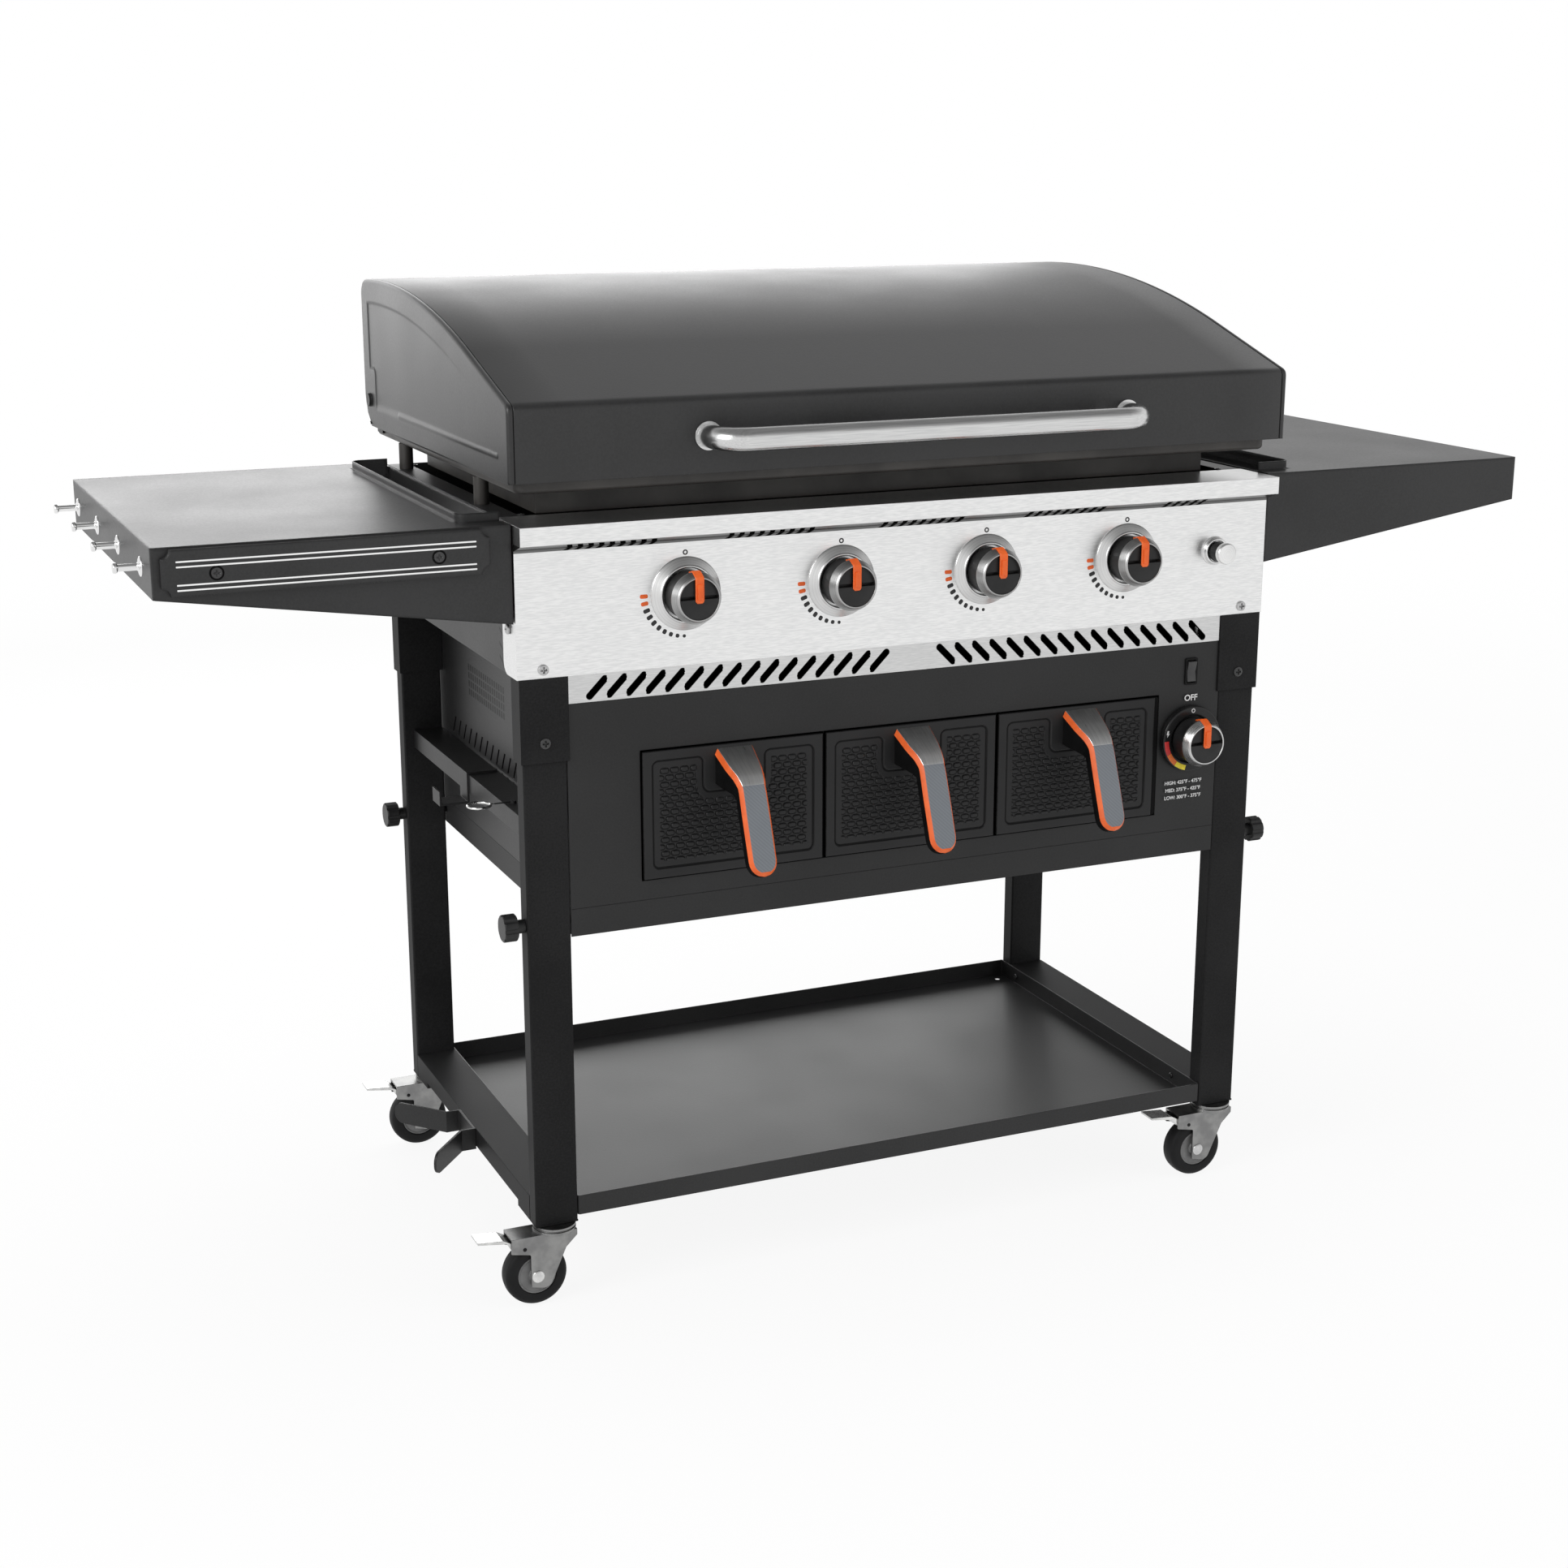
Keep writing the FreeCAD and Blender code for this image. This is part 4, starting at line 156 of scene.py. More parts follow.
def feed(shader, **wires):
    """Link wires to a shader's sockets."""
    for name, wire in wires.items():
        wire.tree.links.new(wire.socket, shader.inputs[name.replace("_", " ")])


def seen_white(tree):
    """Give 1 where the camera, a mirror or glass looks, and 0 where light is gathered."""
    path = tree.nodes.new("ShaderNodeLightPath")
    eye, mirror, glass = (Wire(tree, path.outputs[f"Is {ray} Ray"])
                          for ray in ("Camera", "Glossy", "Transmission"))
    return (eye + mirror + glass).math("MINIMUM", 1.0)


def studio_floor():
    """Make the floor white to the eye, with the shadow that falls on it still there."""
    material, shader, place = new_finish("studio_floor", tint(0.86), 0.9)
    tree = material.node_tree
    away = place.node("ShaderNodeVectorMath", {"operation": "LENGTH"}, {0: place}, "Value")
    lit = seen_white(tree) * (0.9 + away.rise(1.5, 5.0) * 0.1)
    glow = lit.node("ShaderNodeEmission", {}, {"Color": (1, 1, 1, 1), "Strength": 1.0})
    whole = lit.node("ShaderNodeMixShader", {}, {0: lit, 1: Wire(tree, shader.outputs[0]), 2: glow})
    tree.links.new(whole.socket, tree.nodes["Material Output"].inputs["Surface"])
    feed(shader, Roughness=0.85 + place.noise(3.0) * 0.1)
    return material


floor_mesh = bpy.data.meshes.new("studio_floor")
reach, sunk = 30.0, 0.0005
floor_mesh.from_pydata([(reach * x, reach * y, -sunk) for x, y in ((-1, -1), (1, -1), (1, 1), (-1, 1))],
                       [], [(0, 1, 2, 3)])
floor_mesh.materials.append(studio_floor())
add("studio_floor", floor_mesh)

world = bpy.data.worlds.new("studio")
world.use_nodes = True
bpy.context.scene.world = world
sky = world.node_tree
gathered = sky.nodes["Background"]
gathered.inputs["Color"].default_value = (1, 1, 1, 1)
gathered.inputs["Strength"].default_value = 0.45
height = Wire(sky).node("ShaderNodeTexCoord", {}, {}, "Generated").axis("Z")
plainly = Wire(sky, sky.nodes.new("ShaderNodeLightPath").outputs["Is Camera Ray"])
ceiling = (1 - height.rise(0.3, 0.85) * 0.75).math("MAXIMUM", plainly)
looked_at = ceiling.node("ShaderNodeBackground", {}, {"Color": (1, 1, 1, 1), "Strength": ceiling})
chosen = looked_at.node("ShaderNodeMixShader", {}, {
    0: seen_white(sky), 1: Wire(sky, gathered.outputs[0]), 2: looked_at})
sky.links.new(chosen.socket, sky.nodes["World Output"].inputs["Surface"])


def lamp(name, power, wide, high, spot, aim, in_gloss=True):
    """Hang a soft rectangular lamp at a spot, facing its aim; gloss may or may not show it."""
    light = bpy.data.lights.new(name, "AREA")
    light.shape = "RECTANGLE"
    light.energy, light.size, light.size_y = power, wide, high
    holder = add(name, light)
    holder.location = spot
    line = Vector(aim) - Vector(spot)
    holder.rotation_euler = line.to_track_quat("-Z", "Y").to_euler()
    holder.visible_camera = False
    holder.visible_glossy = in_gloss


lamp("left_lamp", 60, 1.8, 1.8, (-3.2, -1.2, 2.4), (0, 0, 0.7))
lamp("right_lamp", 25, 1.8, 1.8, (2.6, -2.6, 1.8), (0, 0, 0.6), False)
lamp("top_lamp", 60, 2.4, 2.4, (0.2, 0.4, 3.6), (0, 0, 0.9), False)
lamp("back_lamp", 45, 3.6, 1.6, (0.3, 3.4, 1.5), (0, 0, 0.9))

# The stand: four rectangular steel tubes with a sleeve round each top, two rails and a folded
# tray between them, all powder coated black. Sizes from here on are in millimetres, measured
# from the stand's own zero: its middle, its front face and the floor.
stand_low, stand_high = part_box("legs")
station = np.array(((stand_low.x + stand_high.x) / 2, stand_low.y, 0.0))


def limits(node):
    """Give a CAD node's lowest and highest corner in millimetres from the stand's zero."""
    low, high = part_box(node)
    return (np.array(low) - station) * 1000, (np.array(high) - station) * 1000


def powder_coat(name, shade, gloss, shine=0.35, rounding=0.0012):
    """Black powder coat: a fine grainy skin, a faint cloudy shade and slightly duller patches."""
    material, shader, place = new_finish(name, tint(shade), gloss, Specular_IOR_Level=shine)
    grain = place.noise(430.0, 2.0)
    cloud = place.noise(7.0, 3.0)
    mix = (cloud * 0.6 + grain * 0.4).rise(0.3, 0.7)
    feed(shader, Base_Color=mix.blend(tint(shade, 0.7, 0.7, 0.72), tint(shade, 1.35, 1.35, 1.38)),
         Roughness=gloss - 0.12 + cloud * 0.12 + grain * 0.12,
         Normal=grain.bump(0.00014, 0.5, rounding))
    return material


def coat(material, *names):
    """Give CAD nodes their finish."""
    for name in names:
        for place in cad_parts[name].material_slots:
            place.material = material


coat(powder_coat("stand_coat", 0.017, 0.52, 0.08), "legs", "leg_sockets", "bottom_frame")
coat(powder_coat("tray_coat", 0.016, 0.44, 0.36), "bottom_shelf")


# The gas tank hangs on the left: a folded strap hook on its rail, a cradle of two bent wings at
# the foot, all powder coated black, and a bright steel wire ring that guides the hose.
def reopened(material):
    """Give a material's shader, the piece's places in millimetres from the stand's zero, and the
    wires of its colour and roughness, so that a mask can lie over them."""
    tree = material.node_tree
    shader = tree.nodes["Principled BSDF"]
    place = Wire(tree).node("ShaderNodeTexCoord", {}, {}, "Object")
    place = place.node("ShaderNodeVectorMath", {"operation": "MULTIPLY_ADD"},
                       {0: place, 1: (1000, 1000, 1000), 2: tuple(station * -1000)})
    wires = [Wire(tree, shader.inputs[name].links[0].from_socket) for name in ("Base Color", "Roughness")]
    return shader, place, *wires


def hanger_finish():
    """Powder coat, with bare bright steel inside a ball round the hose ring."""
    material = powder_coat("hanger_coat", 0.014, 0.46)
    shader, place, coated, dull = reopened(material)
    ring_spot = (-486.5, 116.0, 568.0)
    away = place.node("ShaderNodeVectorMath", {"operation": "DISTANCE"}, {0: place, 1: ring_spot},
                      "Value")
    bright = away.fall(17.2, 17.8)
    feed(shader, Base_Color=bright.blend(coated, (0.7, 0.7, 0.69, 1)), Metallic=bright,
         Roughness=dull - bright * 0.25)
    return material


coat(hanger_finish(), "tank_fittings")


# Four swivel casters: a dull zinc fork with a bright domed axle rivet, a black rubber tyre on a
# grey hub, and a brake pedal pressed from zinc plated sheet, which turns on a black pin.
def loft(rows, around=True, ends=True, ring=False):
    """Join rows of points by four-sided faces. A row is a closed loop unless around is off;
    its two ends get one face each, or, as a ring, the last row joins the first."""
    rows = np.asarray(rows, float)
    index = np.arange(rows.shape[0] * rows.shape[1]).reshape(rows.shape[:2])
    low, high = (index, np.roll(index, -1, 0)) if ring else (index[:-1], index[1:])
    if around:
        next_low, next_high = np.roll(low, -1, 1), np.roll(high, -1, 1)
    else:
        low, next_low, high, next_high = low[:, :-1], low[:, 1:], high[:, :-1], high[:, 1:]
    faces = np.stack((low, next_low, next_high, high), -1).reshape(-1, 4).tolist()
    if around and ends and not ring:
        faces += [index[0, ::-1].tolist(), index[-1].tolist()]
    return rows.reshape(-1, 3), faces


def eased(points, radius, closed=False, steps=5):
    """Round a line's corners: near each, the curve is (1-t)² a + 2t(1-t) corner + t² b, where
    a and b lie a radius away on its two sides, or less where a side is short."""
    points = np.asarray(points, float)
    back = np.roll(points, 1, 0) - points
    ahead = np.roll(points, -1, 0) - points
    back_length = np.linalg.norm(back, axis=1) + 1e-9
    ahead_length = np.linalg.norm(ahead, axis=1) + 1e-9
    cut = np.minimum(radius, 0.49 * np.minimum(back_length, ahead_length))
    if not closed:
        cut[[0, -1]] = 0
    a = points + back * (cut / back_length)[:, None]
    b = points + ahead * (cut / ahead_length)[:, None]
    t = np.linspace(0, 1, steps)[None, :, None]
    curve = (1 - t) ** 2 * a[:, None] + 2 * t * (1 - t) * points[:, None] + t ** 2 * b[:, None]
    curve = curve.reshape(-1, points.shape[1])
    keep = np.linalg.norm(np.roll(curve, 1, 0) - curve, axis=1) > 1e-7
    if not closed:
        keep[0] = True
    return curve[keep]


def turned(profile, centre, out=(0, -1, 0), steps=64, ring=False):
    """Turn a profile of (distance along the axis, radius): each point is the centre + distance
    x the axis + radius x (cos a up + sin a sideways). A ring's profile closes on itself."""
    out = np.array(out, float)
    up = np.array((0, 0, 1.0)) if abs(out[2]) < 0.5 else np.array((1.0, 0, 0))
    angle = np.linspace(0, 2 * np.pi, steps, endpoint=False)[:, None]
    spokes = np.cos(angle) * up + np.sin(angle) * np.cross(out, up)
    profile = np.asarray(profile, float)
    along, radius = profile[:, :1, None], profile[:, 1:, None]
    return loft(np.asarray(centre, float) + along * out + radius * spokes, ends=False, ring=ring)


def make(name, body, material, shapes, replaced=(), sharp=35, sheet=False, painted_shade=None):
    """Join a piece's shapes into one mesh, in metres at its place, and ride it on its body. Each point
    can carry a share of painted shade, from 0 to 1, which the material darkens into its colour."""
    points = np.concatenate([shape[0] for shape in shapes])
    faces = []
    first = 0
    for shape in shapes:
        faces += [[corner + first for corner in face] for face in shape[1]]
        first += len(shape[0])
    mesh = bpy.data.meshes.new(name)
    mesh.from_pydata((points / 1000 + station).tolist(), [], faces)
    if painted_shade is not None:
        mesh.attributes.new("painted_shade", "FLOAT", "POINT").data.foreach_set("value", painted_shade)
    shell = bmesh.new()
    shell.from_mesh(mesh)
    bmesh.ops.remove_doubles(shell, verts=shell.verts, dist=1e-6)
    if not sheet:
        bmesh.ops.recalc_face_normals(shell, faces=shell.faces)
    shell.to_mesh(mesh)
    shell.free()
    mesh.shade_smooth()
    mesh.set_sharp_from_angle(angle=math.radians(sharp))
    mesh.materials.append(material)
    piece = add(name, mesh)
    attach(piece, body)
    if replaced:
        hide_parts(*replaced)
    return piece


def mottled(name, colour, dark, light, cloud, rough, grain=None, span=(0.3, 0.7), **constants):
    """Make a finish with a cloud over it, given as its scale and detail. Colour goes from dark to
    light within a span of the cloud, roughness is rough[0] + rough[1] x the cloud, and a grain,
    given as its scale, depth, strength and edge rounding, dents it."""
    material, shader, place = new_finish(name, colour, rough[0] + rough[1] / 2, **constants)
    cloud = place.noise(*cloud)
    feed(shader, Base_Color=cloud.rise(*span).blend(dark, light), Roughness=rough[0] + cloud * rough[1])
    if grain:
        feed(shader, Normal=place.noise(grain[0]).bump(*grain[1:]))
    return material


def zinc_plate(name, shade, gloss):
    """Zinc plated sheet: grey, faintly blotched, with shallow ripples from the press."""
    return mottled(name, tint(shade, 1, 1, 0.99), tint(shade * 0.82), tint(shade, 1.2, 1.2, 1.18),
                   (60.0, 4.0), (gloss - 0.08, 0.16), (180.0, 0.0002, 0.3, 0.001), metallic=1.0)


def tyre_rubber():
    """Black rubber: matt, a little greyer in patches, with a fine moulded grain."""
    return mottled("tyre_rubber", (0.006, 0.006, 0.0065, 1), (0.0045, 0.0045, 0.005, 1),
                   (0.0095, 0.0095, 0.01, 1), (35.0, 4.0), (0.5, 0.2), (1500.0, 0.0001, 0.4),
                   (0.4, 0.75), Specular_IOR_Level=0.22)


def hub_plastic():
    """Grey moulded hub plastic with a soft sheen."""
    return mottled("hub_plastic", tint(0.17), tint(0.15), tint(0.2), (50.0, 3.0), (0.32, 0.14),
                   (900.0, 0.0001, 0.25))


fork_zinc = zinc_plate("fork_zinc", 0.25, 0.34)
zinc = zinc_plate("bright_zinc", 0.62, 0.26)
rubber = tyre_rubber()
hub_grey = hub_plastic()
hub_radius = 23.0
corners = ("left_front", "left_rear", "right_front", "right_rear")
for corner in corners:
    wheel, fork = f"{corner}_wheel", f"{corner}_fork"
    low, high = limits(wheel)
    axle = (low + high) / 2
    tread, wide = (high[2] - low[2]) / 2, (high[1] - low[1]) / 2
    outline = eased([(-wide, hub_radius), (-wide, tread - 5), (-wide + 3, tread - 1), (0, tread),
                     (wide - 3, tread - 1), (wide, tread - 5), (wide, hub_radius),
                     (wide - 3, hub_radius - 0.5), (3 - wide, hub_radius - 0.5)], 2.5, closed=True)
    make(f"{corner}_tyre", wheel, rubber,
         [turned(outline, axle, steps=96, ring=True)], (wheel,))
    face = eased([(0, hub_radius - 0.2), (wide - 1.2, hub_radius - 0.2), (wide - 0.8, hub_radius - 1.6),
                  (wide - 2.2, hub_radius - 3), (wide - 3, 9), (wide - 0.6, 7.5), (wide - 0.6, 4.2)], 0.8)
    make(f"{corner}_hub", wheel, hub_grey,
         [turned(np.concatenate((face, face[::-1] * (-1, 1))), axle, steps=72, ring=True)])
    coat(fork_zinc, fork)
    coat(zinc, f"{corner}_pedal")
    cheek = wide + 1.2 + 2.5
    dome = eased([(cheek - 0.5, 0), (cheek - 0.5, 7.5), (cheek + 0.8, 7.5), (cheek + 2.6, 4.5),
                  (cheek + 3, 0)], 1.6)
    pin = [(cheek - 1, 0), (cheek - 1, 2.3), (cheek + 0.3, 2.3), (cheek + 0.3, 0)]
    for label, finish, profile, spot in (("axle_rivet", zinc, dome, axle),
                                         ("pedal_pin", rubber, pin, axle + (-15, 0, 36.5))):
        make(f"{corner}_{label}", fork, finish,
             [turned(profile, spot, (0, way, 0), 32) for way in (-1, 1)])


# Hand knobs clamp the folding legs' sockets: fluted black plastic with a matt moulded skin.
def knob_plastic(name, shade, gloss, shine=0.3):
    """Black moulded plastic: satin, with a faint cloud and a fine spark-eroded grain."""
    return mottled(name, tint(shade), tint(shade, 0.75, 0.75, 0.77), tint(shade, 1.3, 1.3, 1.32),
                   (40.0, 3.0), (gloss - 0.06, 0.12), (1600.0, 0.00008, 0.35, 0.0006),
                   Specular_IOR_Level=shine)


black_plastic = knob_plastic("black_plastic", 0.015, 0.42)
coat(black_plastic, *(f"{corner}_hand_knob" for corner in corners))


# The fryer cabinet under the burner box: a folded coated sheet with pierced sides, a front panel
# cut out for three drawers, and above that panel a strip of brushed stainless steel with slots.
def pierced_coat():
    """Powder coat on the cabinet, with four rows of small slots on its sides painted black: painted shade
    for the holes.
    """
    material = powder_coat("cabinet_coat", 0.016, 0.42, 0.4)
    shader, place, coated, _ = reopened(material)
    along, above = place.axis("Y"), place.axis("Z")
    side = limits("fryer_cabinet")[1][0]
    first, pitch, long, foot, row, tall = 234.0, 8.8, 150.0, 634.0, 10.4, 41.0
    patch = along.between(first - 1, first + long, 1) * above.between(foot - 0.5, foot + tall, 1)
    slots = (abs((along - first).cell(pitch) - pitch / 2).fall(2.2, 2.8)
             * abs((above - foot).cell(row) - row / 2).fall(3.7, 4.3))
    hole_shade = abs(place.axis("X")).rise(side - 6, side - 5.5) * patch * slots
    feed(shader, Base_Color=hole_shade.blend(coated, tint(0.001)), Metallic=hole_shade)
    return material


def brushed_steel(name, shade, gloss, across=(90.0, 1000.0, 1000.0), rounding=0.0008):
    """Brushed steel: fine scratches, long where the waves across an axis are few, lighter and
    darker by turns."""
    material, shader, place = new_finish(name, tint(shade, 1, 1, 0.99), gloss, 1.0)
    scratch = place.noise(across, 3.0)
    streak = place.noise(tuple(value * 0.3 for value in across), 2.0)
    mix = scratch * 0.8 + streak * 0.12 + place.noise(3.0, 2.0) * 0.08
    feed(shader, Base_Color=mix.rise(0.35, 0.65).blend(tint(shade, 0.9, 0.905, 0.905),
                                                       tint(shade, 1.05, 1.05, 1.045)),
         Roughness=gloss - 0.06 + scratch * 0.12, Normal=scratch.bump(0.00003, 0.4, rounding))
    return material


coat(pierced_coat(), "fryer_cabinet")
coat(powder_coat("panel_coat", 0.013, 0.5, 0.35), "fryer_base", "fryer_panel")


def strip_steel():
    """Brushed steel, with painted shade round its slanted slots: black, so that the dark openings look
    wider. A point's place along a slot is (u + v) / sqrt 2 and its place across it (u - v) / sqrt 2."""
    material = brushed_steel("strip_steel", 0.62, 0.3)
    shader, place, bare, _ = reopened(material)
    low, high = limits("vent_strip")
    first, pitch, last, reach, radius, slant = 33.2, 22.7, 15, 12.6, 4.3, 0.7071
    inwards = high[0] - abs(place.axis("X")) - first
    number = (inwards / pitch).math("ROUND").math("MAXIMUM", 0).math("MINIMUM", last)
    u, v = inwards - number * pitch, place.axis("Z") - (low[2] + high[2]) / 2
    over, off = (abs((u + v) * slant) - reach).math("MAXIMUM", 0), (u - v) * slant
    away = (over * over + off * off).math("SQRT")
    feed(shader, Base_Color=away.rise(radius - 0.3, radius).blend(tint(0.004), bare))
    return material


coat(strip_steel(), "vent_strip")


# Three air fryer drawers: a black coated basket behind a black face, which is pressed into a dish
# with a notch at the top for the handle and staggered rows of small pill shaped bumps.
FRONT = np.array(((1, 0, 0), (0, 0, 1), (0, -1, 0)), float)


def step(value, low, high):
    """Go smoothly from 0 at low to 1 at high, 3t² - 2t³ between."""
    t = np.clip((value - low) / (high - low), 0, 1)
    return t * t * (3 - 2 * t)


def box_distance(u, v, half_u, half_v, corner):
    """Distance from a rectangle round (0, 0) with round corners, below 0 inside it:
    the length of (|u| - half + corner, |v| - half + corner), less the corner."""
    over_u, over_v = np.abs(u) - half_u + corner, np.abs(v) - half_v + corner
    outside = np.hypot(np.maximum(over_u, 0), np.maximum(over_v, 0))
    return outside + np.minimum(np.maximum(over_u, over_v), 0) - corner


def drawer_relief(u, v, half_u, half_v):
    """Height of a drawer's face: 0 on its border, 0.9 mm down in the dish, and bumps in it. A
    groove lies just inside the dish's edge and another round each bump."""
    border, notch_half, notch_deep, corner = 10.5, 36.0, 52.0, 8.0
    dish = box_distance(u, v, half_u - border, half_v - border, corner)
    notch = -box_distance(u, v - half_v, notch_half, notch_deep, corner)
    near = np.hypot(np.maximum(dish + corner, 0), np.maximum(notch + corner, 0))
    inside = np.minimum(np.maximum(dish, notch), -corner) + near
    pitch, row, long_half, high_half = 11.9, 8.0, 4.4, 2.4
    line = np.round((v - 2) / row)
    shifted = u - (line % 2) * pitch / 2
    pill_u = shifted - np.round(shifted / pitch) * pitch
    pill_v = v - 2 - line * row
    pill = box_distance(pill_u, pill_v, long_half, high_half, high_half)
    bumps = step(-pill, -0.3, 0.4) - 0.9 * (1 - step(np.abs(pill - 0.6), 0.1, 0.7))
    edge_groove = 1 - step(np.abs(inside + 1.3), 0.5, 1.3)
    return bumps * (inside < -corner - 1.5) - 0.9 * step(-inside, -0.1, 0.8) - 1.1 * edge_groove


def drawer_finish():
    """Satin black coat on the drawers, smoother than the cabinet's, with painted shade darkening the face's
    grooves, its deep parts and its sides.
    """
    material, shader, place = new_finish("drawer_coat", (0.009, 0.009, 0.0095, 1), 0.45,
                                         Specular_IOR_Level=0.32)
    cloud = place.noise(12.0, 3.0)
    painted_shade = place.node("ShaderNodeAttribute", {"attribute_name": "painted_shade"}, {}, "Fac")
    shade = cloud.rise(0.3, 0.7).blend((0.0075, 0.0075, 0.008, 1), (0.0115, 0.0115, 0.012, 1))
    feed(shader, Base_Color=painted_shade.blend(shade, (0.0008, 0.0008, 0.0009, 1)),
         Roughness=0.4 + cloud * 0.12 + painted_shade * 0.35,
         Normal=place.noise(1200.0).bump(0.0001, 0.35, 0.0008))
    return material


def border(grid):
    """Walk once round the edge of a grid of points."""
    return np.concatenate((grid[0], grid[1:, -1], grid[-1, -2::-1], grid[-2:0:-1, 0]))


drawer_black = drawer_finish()
# Near black, darker than the other coats: the baskets' own black coat, and painted shade where the gaps
# between the drawer faces show the baskets and the bay.
black_coat_and_painted_shade = powder_coat("black_coat_and_painted_shade", 0.002, 0.55, 0.08)
fine, proud, margin = 0.6, 2.3, 0.2
for number, gap in ((1, 1.0), (2, 1.0), (3, 6.0)):
    drawer = f"drawer_{number}"
    coat(black_coat_and_painted_shade, drawer)
    low, high = limits(drawer)
    high[0] -= gap
    half_u, half_v = (high[0] - low[0]) / 2, (high[2] - low[2]) / 2
    grid_u, grid_v = np.meshgrid(*(np.linspace(margin - half, half - margin, int(half * 2 / fine))
                                   for half in (half_u, half_v)))
    edge = box_distance(grid_u, grid_v, half_u - margin, half_v - margin, 0.5)
    relief = drawer_relief(grid_u, grid_v, half_u, half_v)
    rows = np.stack(((low[0] + high[0]) / 2 + grid_u,
                     low[1] - (proud + relief - 0.5 * step(edge, -0.9, 0)),
                     (low[2] + high[2]) / 2 + grid_v), -1)
    top = border(rows)
    skirt = top.copy()
    skirt[:, 1] = low[1] + 0.3
    # Each face carries painted shade: darker the deeper its relief, and full on the skirt round its sides.
    make(f"{drawer}_face", drawer, drawer_black,
         [loft(rows, around=False), loft((skirt, top), ends=False)], sharp=60,
         painted_shade=np.concatenate((np.clip(-(relief.ravel() + 1.0) / 1.1, 0, 0.85), np.ones(2 * len(top)))))


# The drawer handles: a black moulded core that grows out of the face in a deep gusset, bends at
# the shoulder and hangs down, with an orange rim, a brushed steel cap and a grey-blue grip.
def spaced(line, gap, more=1):
    """Space a line's points evenly, about a gap apart; give them and how far along each one is."""
    run = np.concatenate(([0], np.cumsum(np.linalg.norm(np.diff(line, axis=0), axis=1))))
    even = np.linspace(0, run[-1], int(run[-1] / gap) + more)
    return np.stack([np.interp(even, run, line[:, k]) for k in range(2)], 1), even


def sideways(line, amount):
    """Move a line in its own plane along its normal, (-dz, dy) / length, by an amount."""
    slope = np.gradient(line, axis=0)
    slope /= np.linalg.norm(slope, axis=1, keepdims=True)
    return line + np.stack((-slope[:, 1], slope[:, 0]), 1) * np.reshape(amount, (-1, 1))


def band(upper, lower, half, ease, middle=0.0, low_half=None):
    """Join an upper and a lower line of (Y, Z), as rows of eight points: a share q of the way
    down, the point is at upper (1 - q) + lower q, and as far sideways as half (1 - q) +
    low_half q. The long edges are eased."""
    half = np.broadcast_to(half, (len(upper),))
    low_half = half if low_half is None else low_half
    share = ease / np.maximum(np.linalg.norm(lower - upper, axis=1), 2 * ease)
    none, full = np.zeros_like(share), np.ones_like(share)
    q = np.stack((none, none, share, 1 - share, full, full, 1 - share, share), 1)
    wide = half[:, None] * (1 - q) + low_half[:, None] * q
    tight = np.maximum(wide - ease, wide * 0.2)
    x = np.where((1, 1, 0, 0, 1, 1, 0, 0), tight, wide) * (-1, 1, 1, 1, 1, -1, -1, -1)
    q = q[..., None]
    flat = upper[:, None] * (1 - q) + lower[:, None] * q
    return loft(np.concatenate((middle + x[..., None], flat), -1))


def orange_plastic():
    """Bright orange moulded plastic with a satin skin."""
    return mottled("orange_plastic", (0.86, 0.13, 0.015, 1), (0.8, 0.115, 0.012, 1),
                   (0.92, 0.15, 0.02, 1), (60.0, 3.0), (0.36, 0.12), (1500.0, 0.00008, 0.3))


def grip_finish():
    """Grey-blue soft grip with fine slanting ribs, a few millimetres apart."""
    material, shader, place = new_finish("grip_grey", (0.17, 0.185, 0.205, 1), 0.5)
    cloud = place.noise(30.0, 3.0)
    slant = (place.axis("X") + place.axis("Z")) * 1400
    rib = (slant + cloud * 1.2).math("SINE") * 0.5 + 0.5
    feed(shader, Base_Color=(rib * 0.5 + cloud * 0.5).blend((0.14, 0.155, 0.172, 1),
                                                            (0.2, 0.215, 0.235, 1)),
         Roughness=0.42 + cloud * 0.15, Normal=rib.bump(0.0001, 0.5))
    return material


def round_end(wide, run, start):
    """Draw a width in at the tip by a circle: sqrt(r² - (r - distance from its end)²)."""
    radius = wide.min()
    over = np.maximum(radius - np.maximum(run - start, 0), 0)
    return np.where(over > 0, np.sqrt(np.maximum(radius ** 2 - over ** 2, 0.2)), wide)


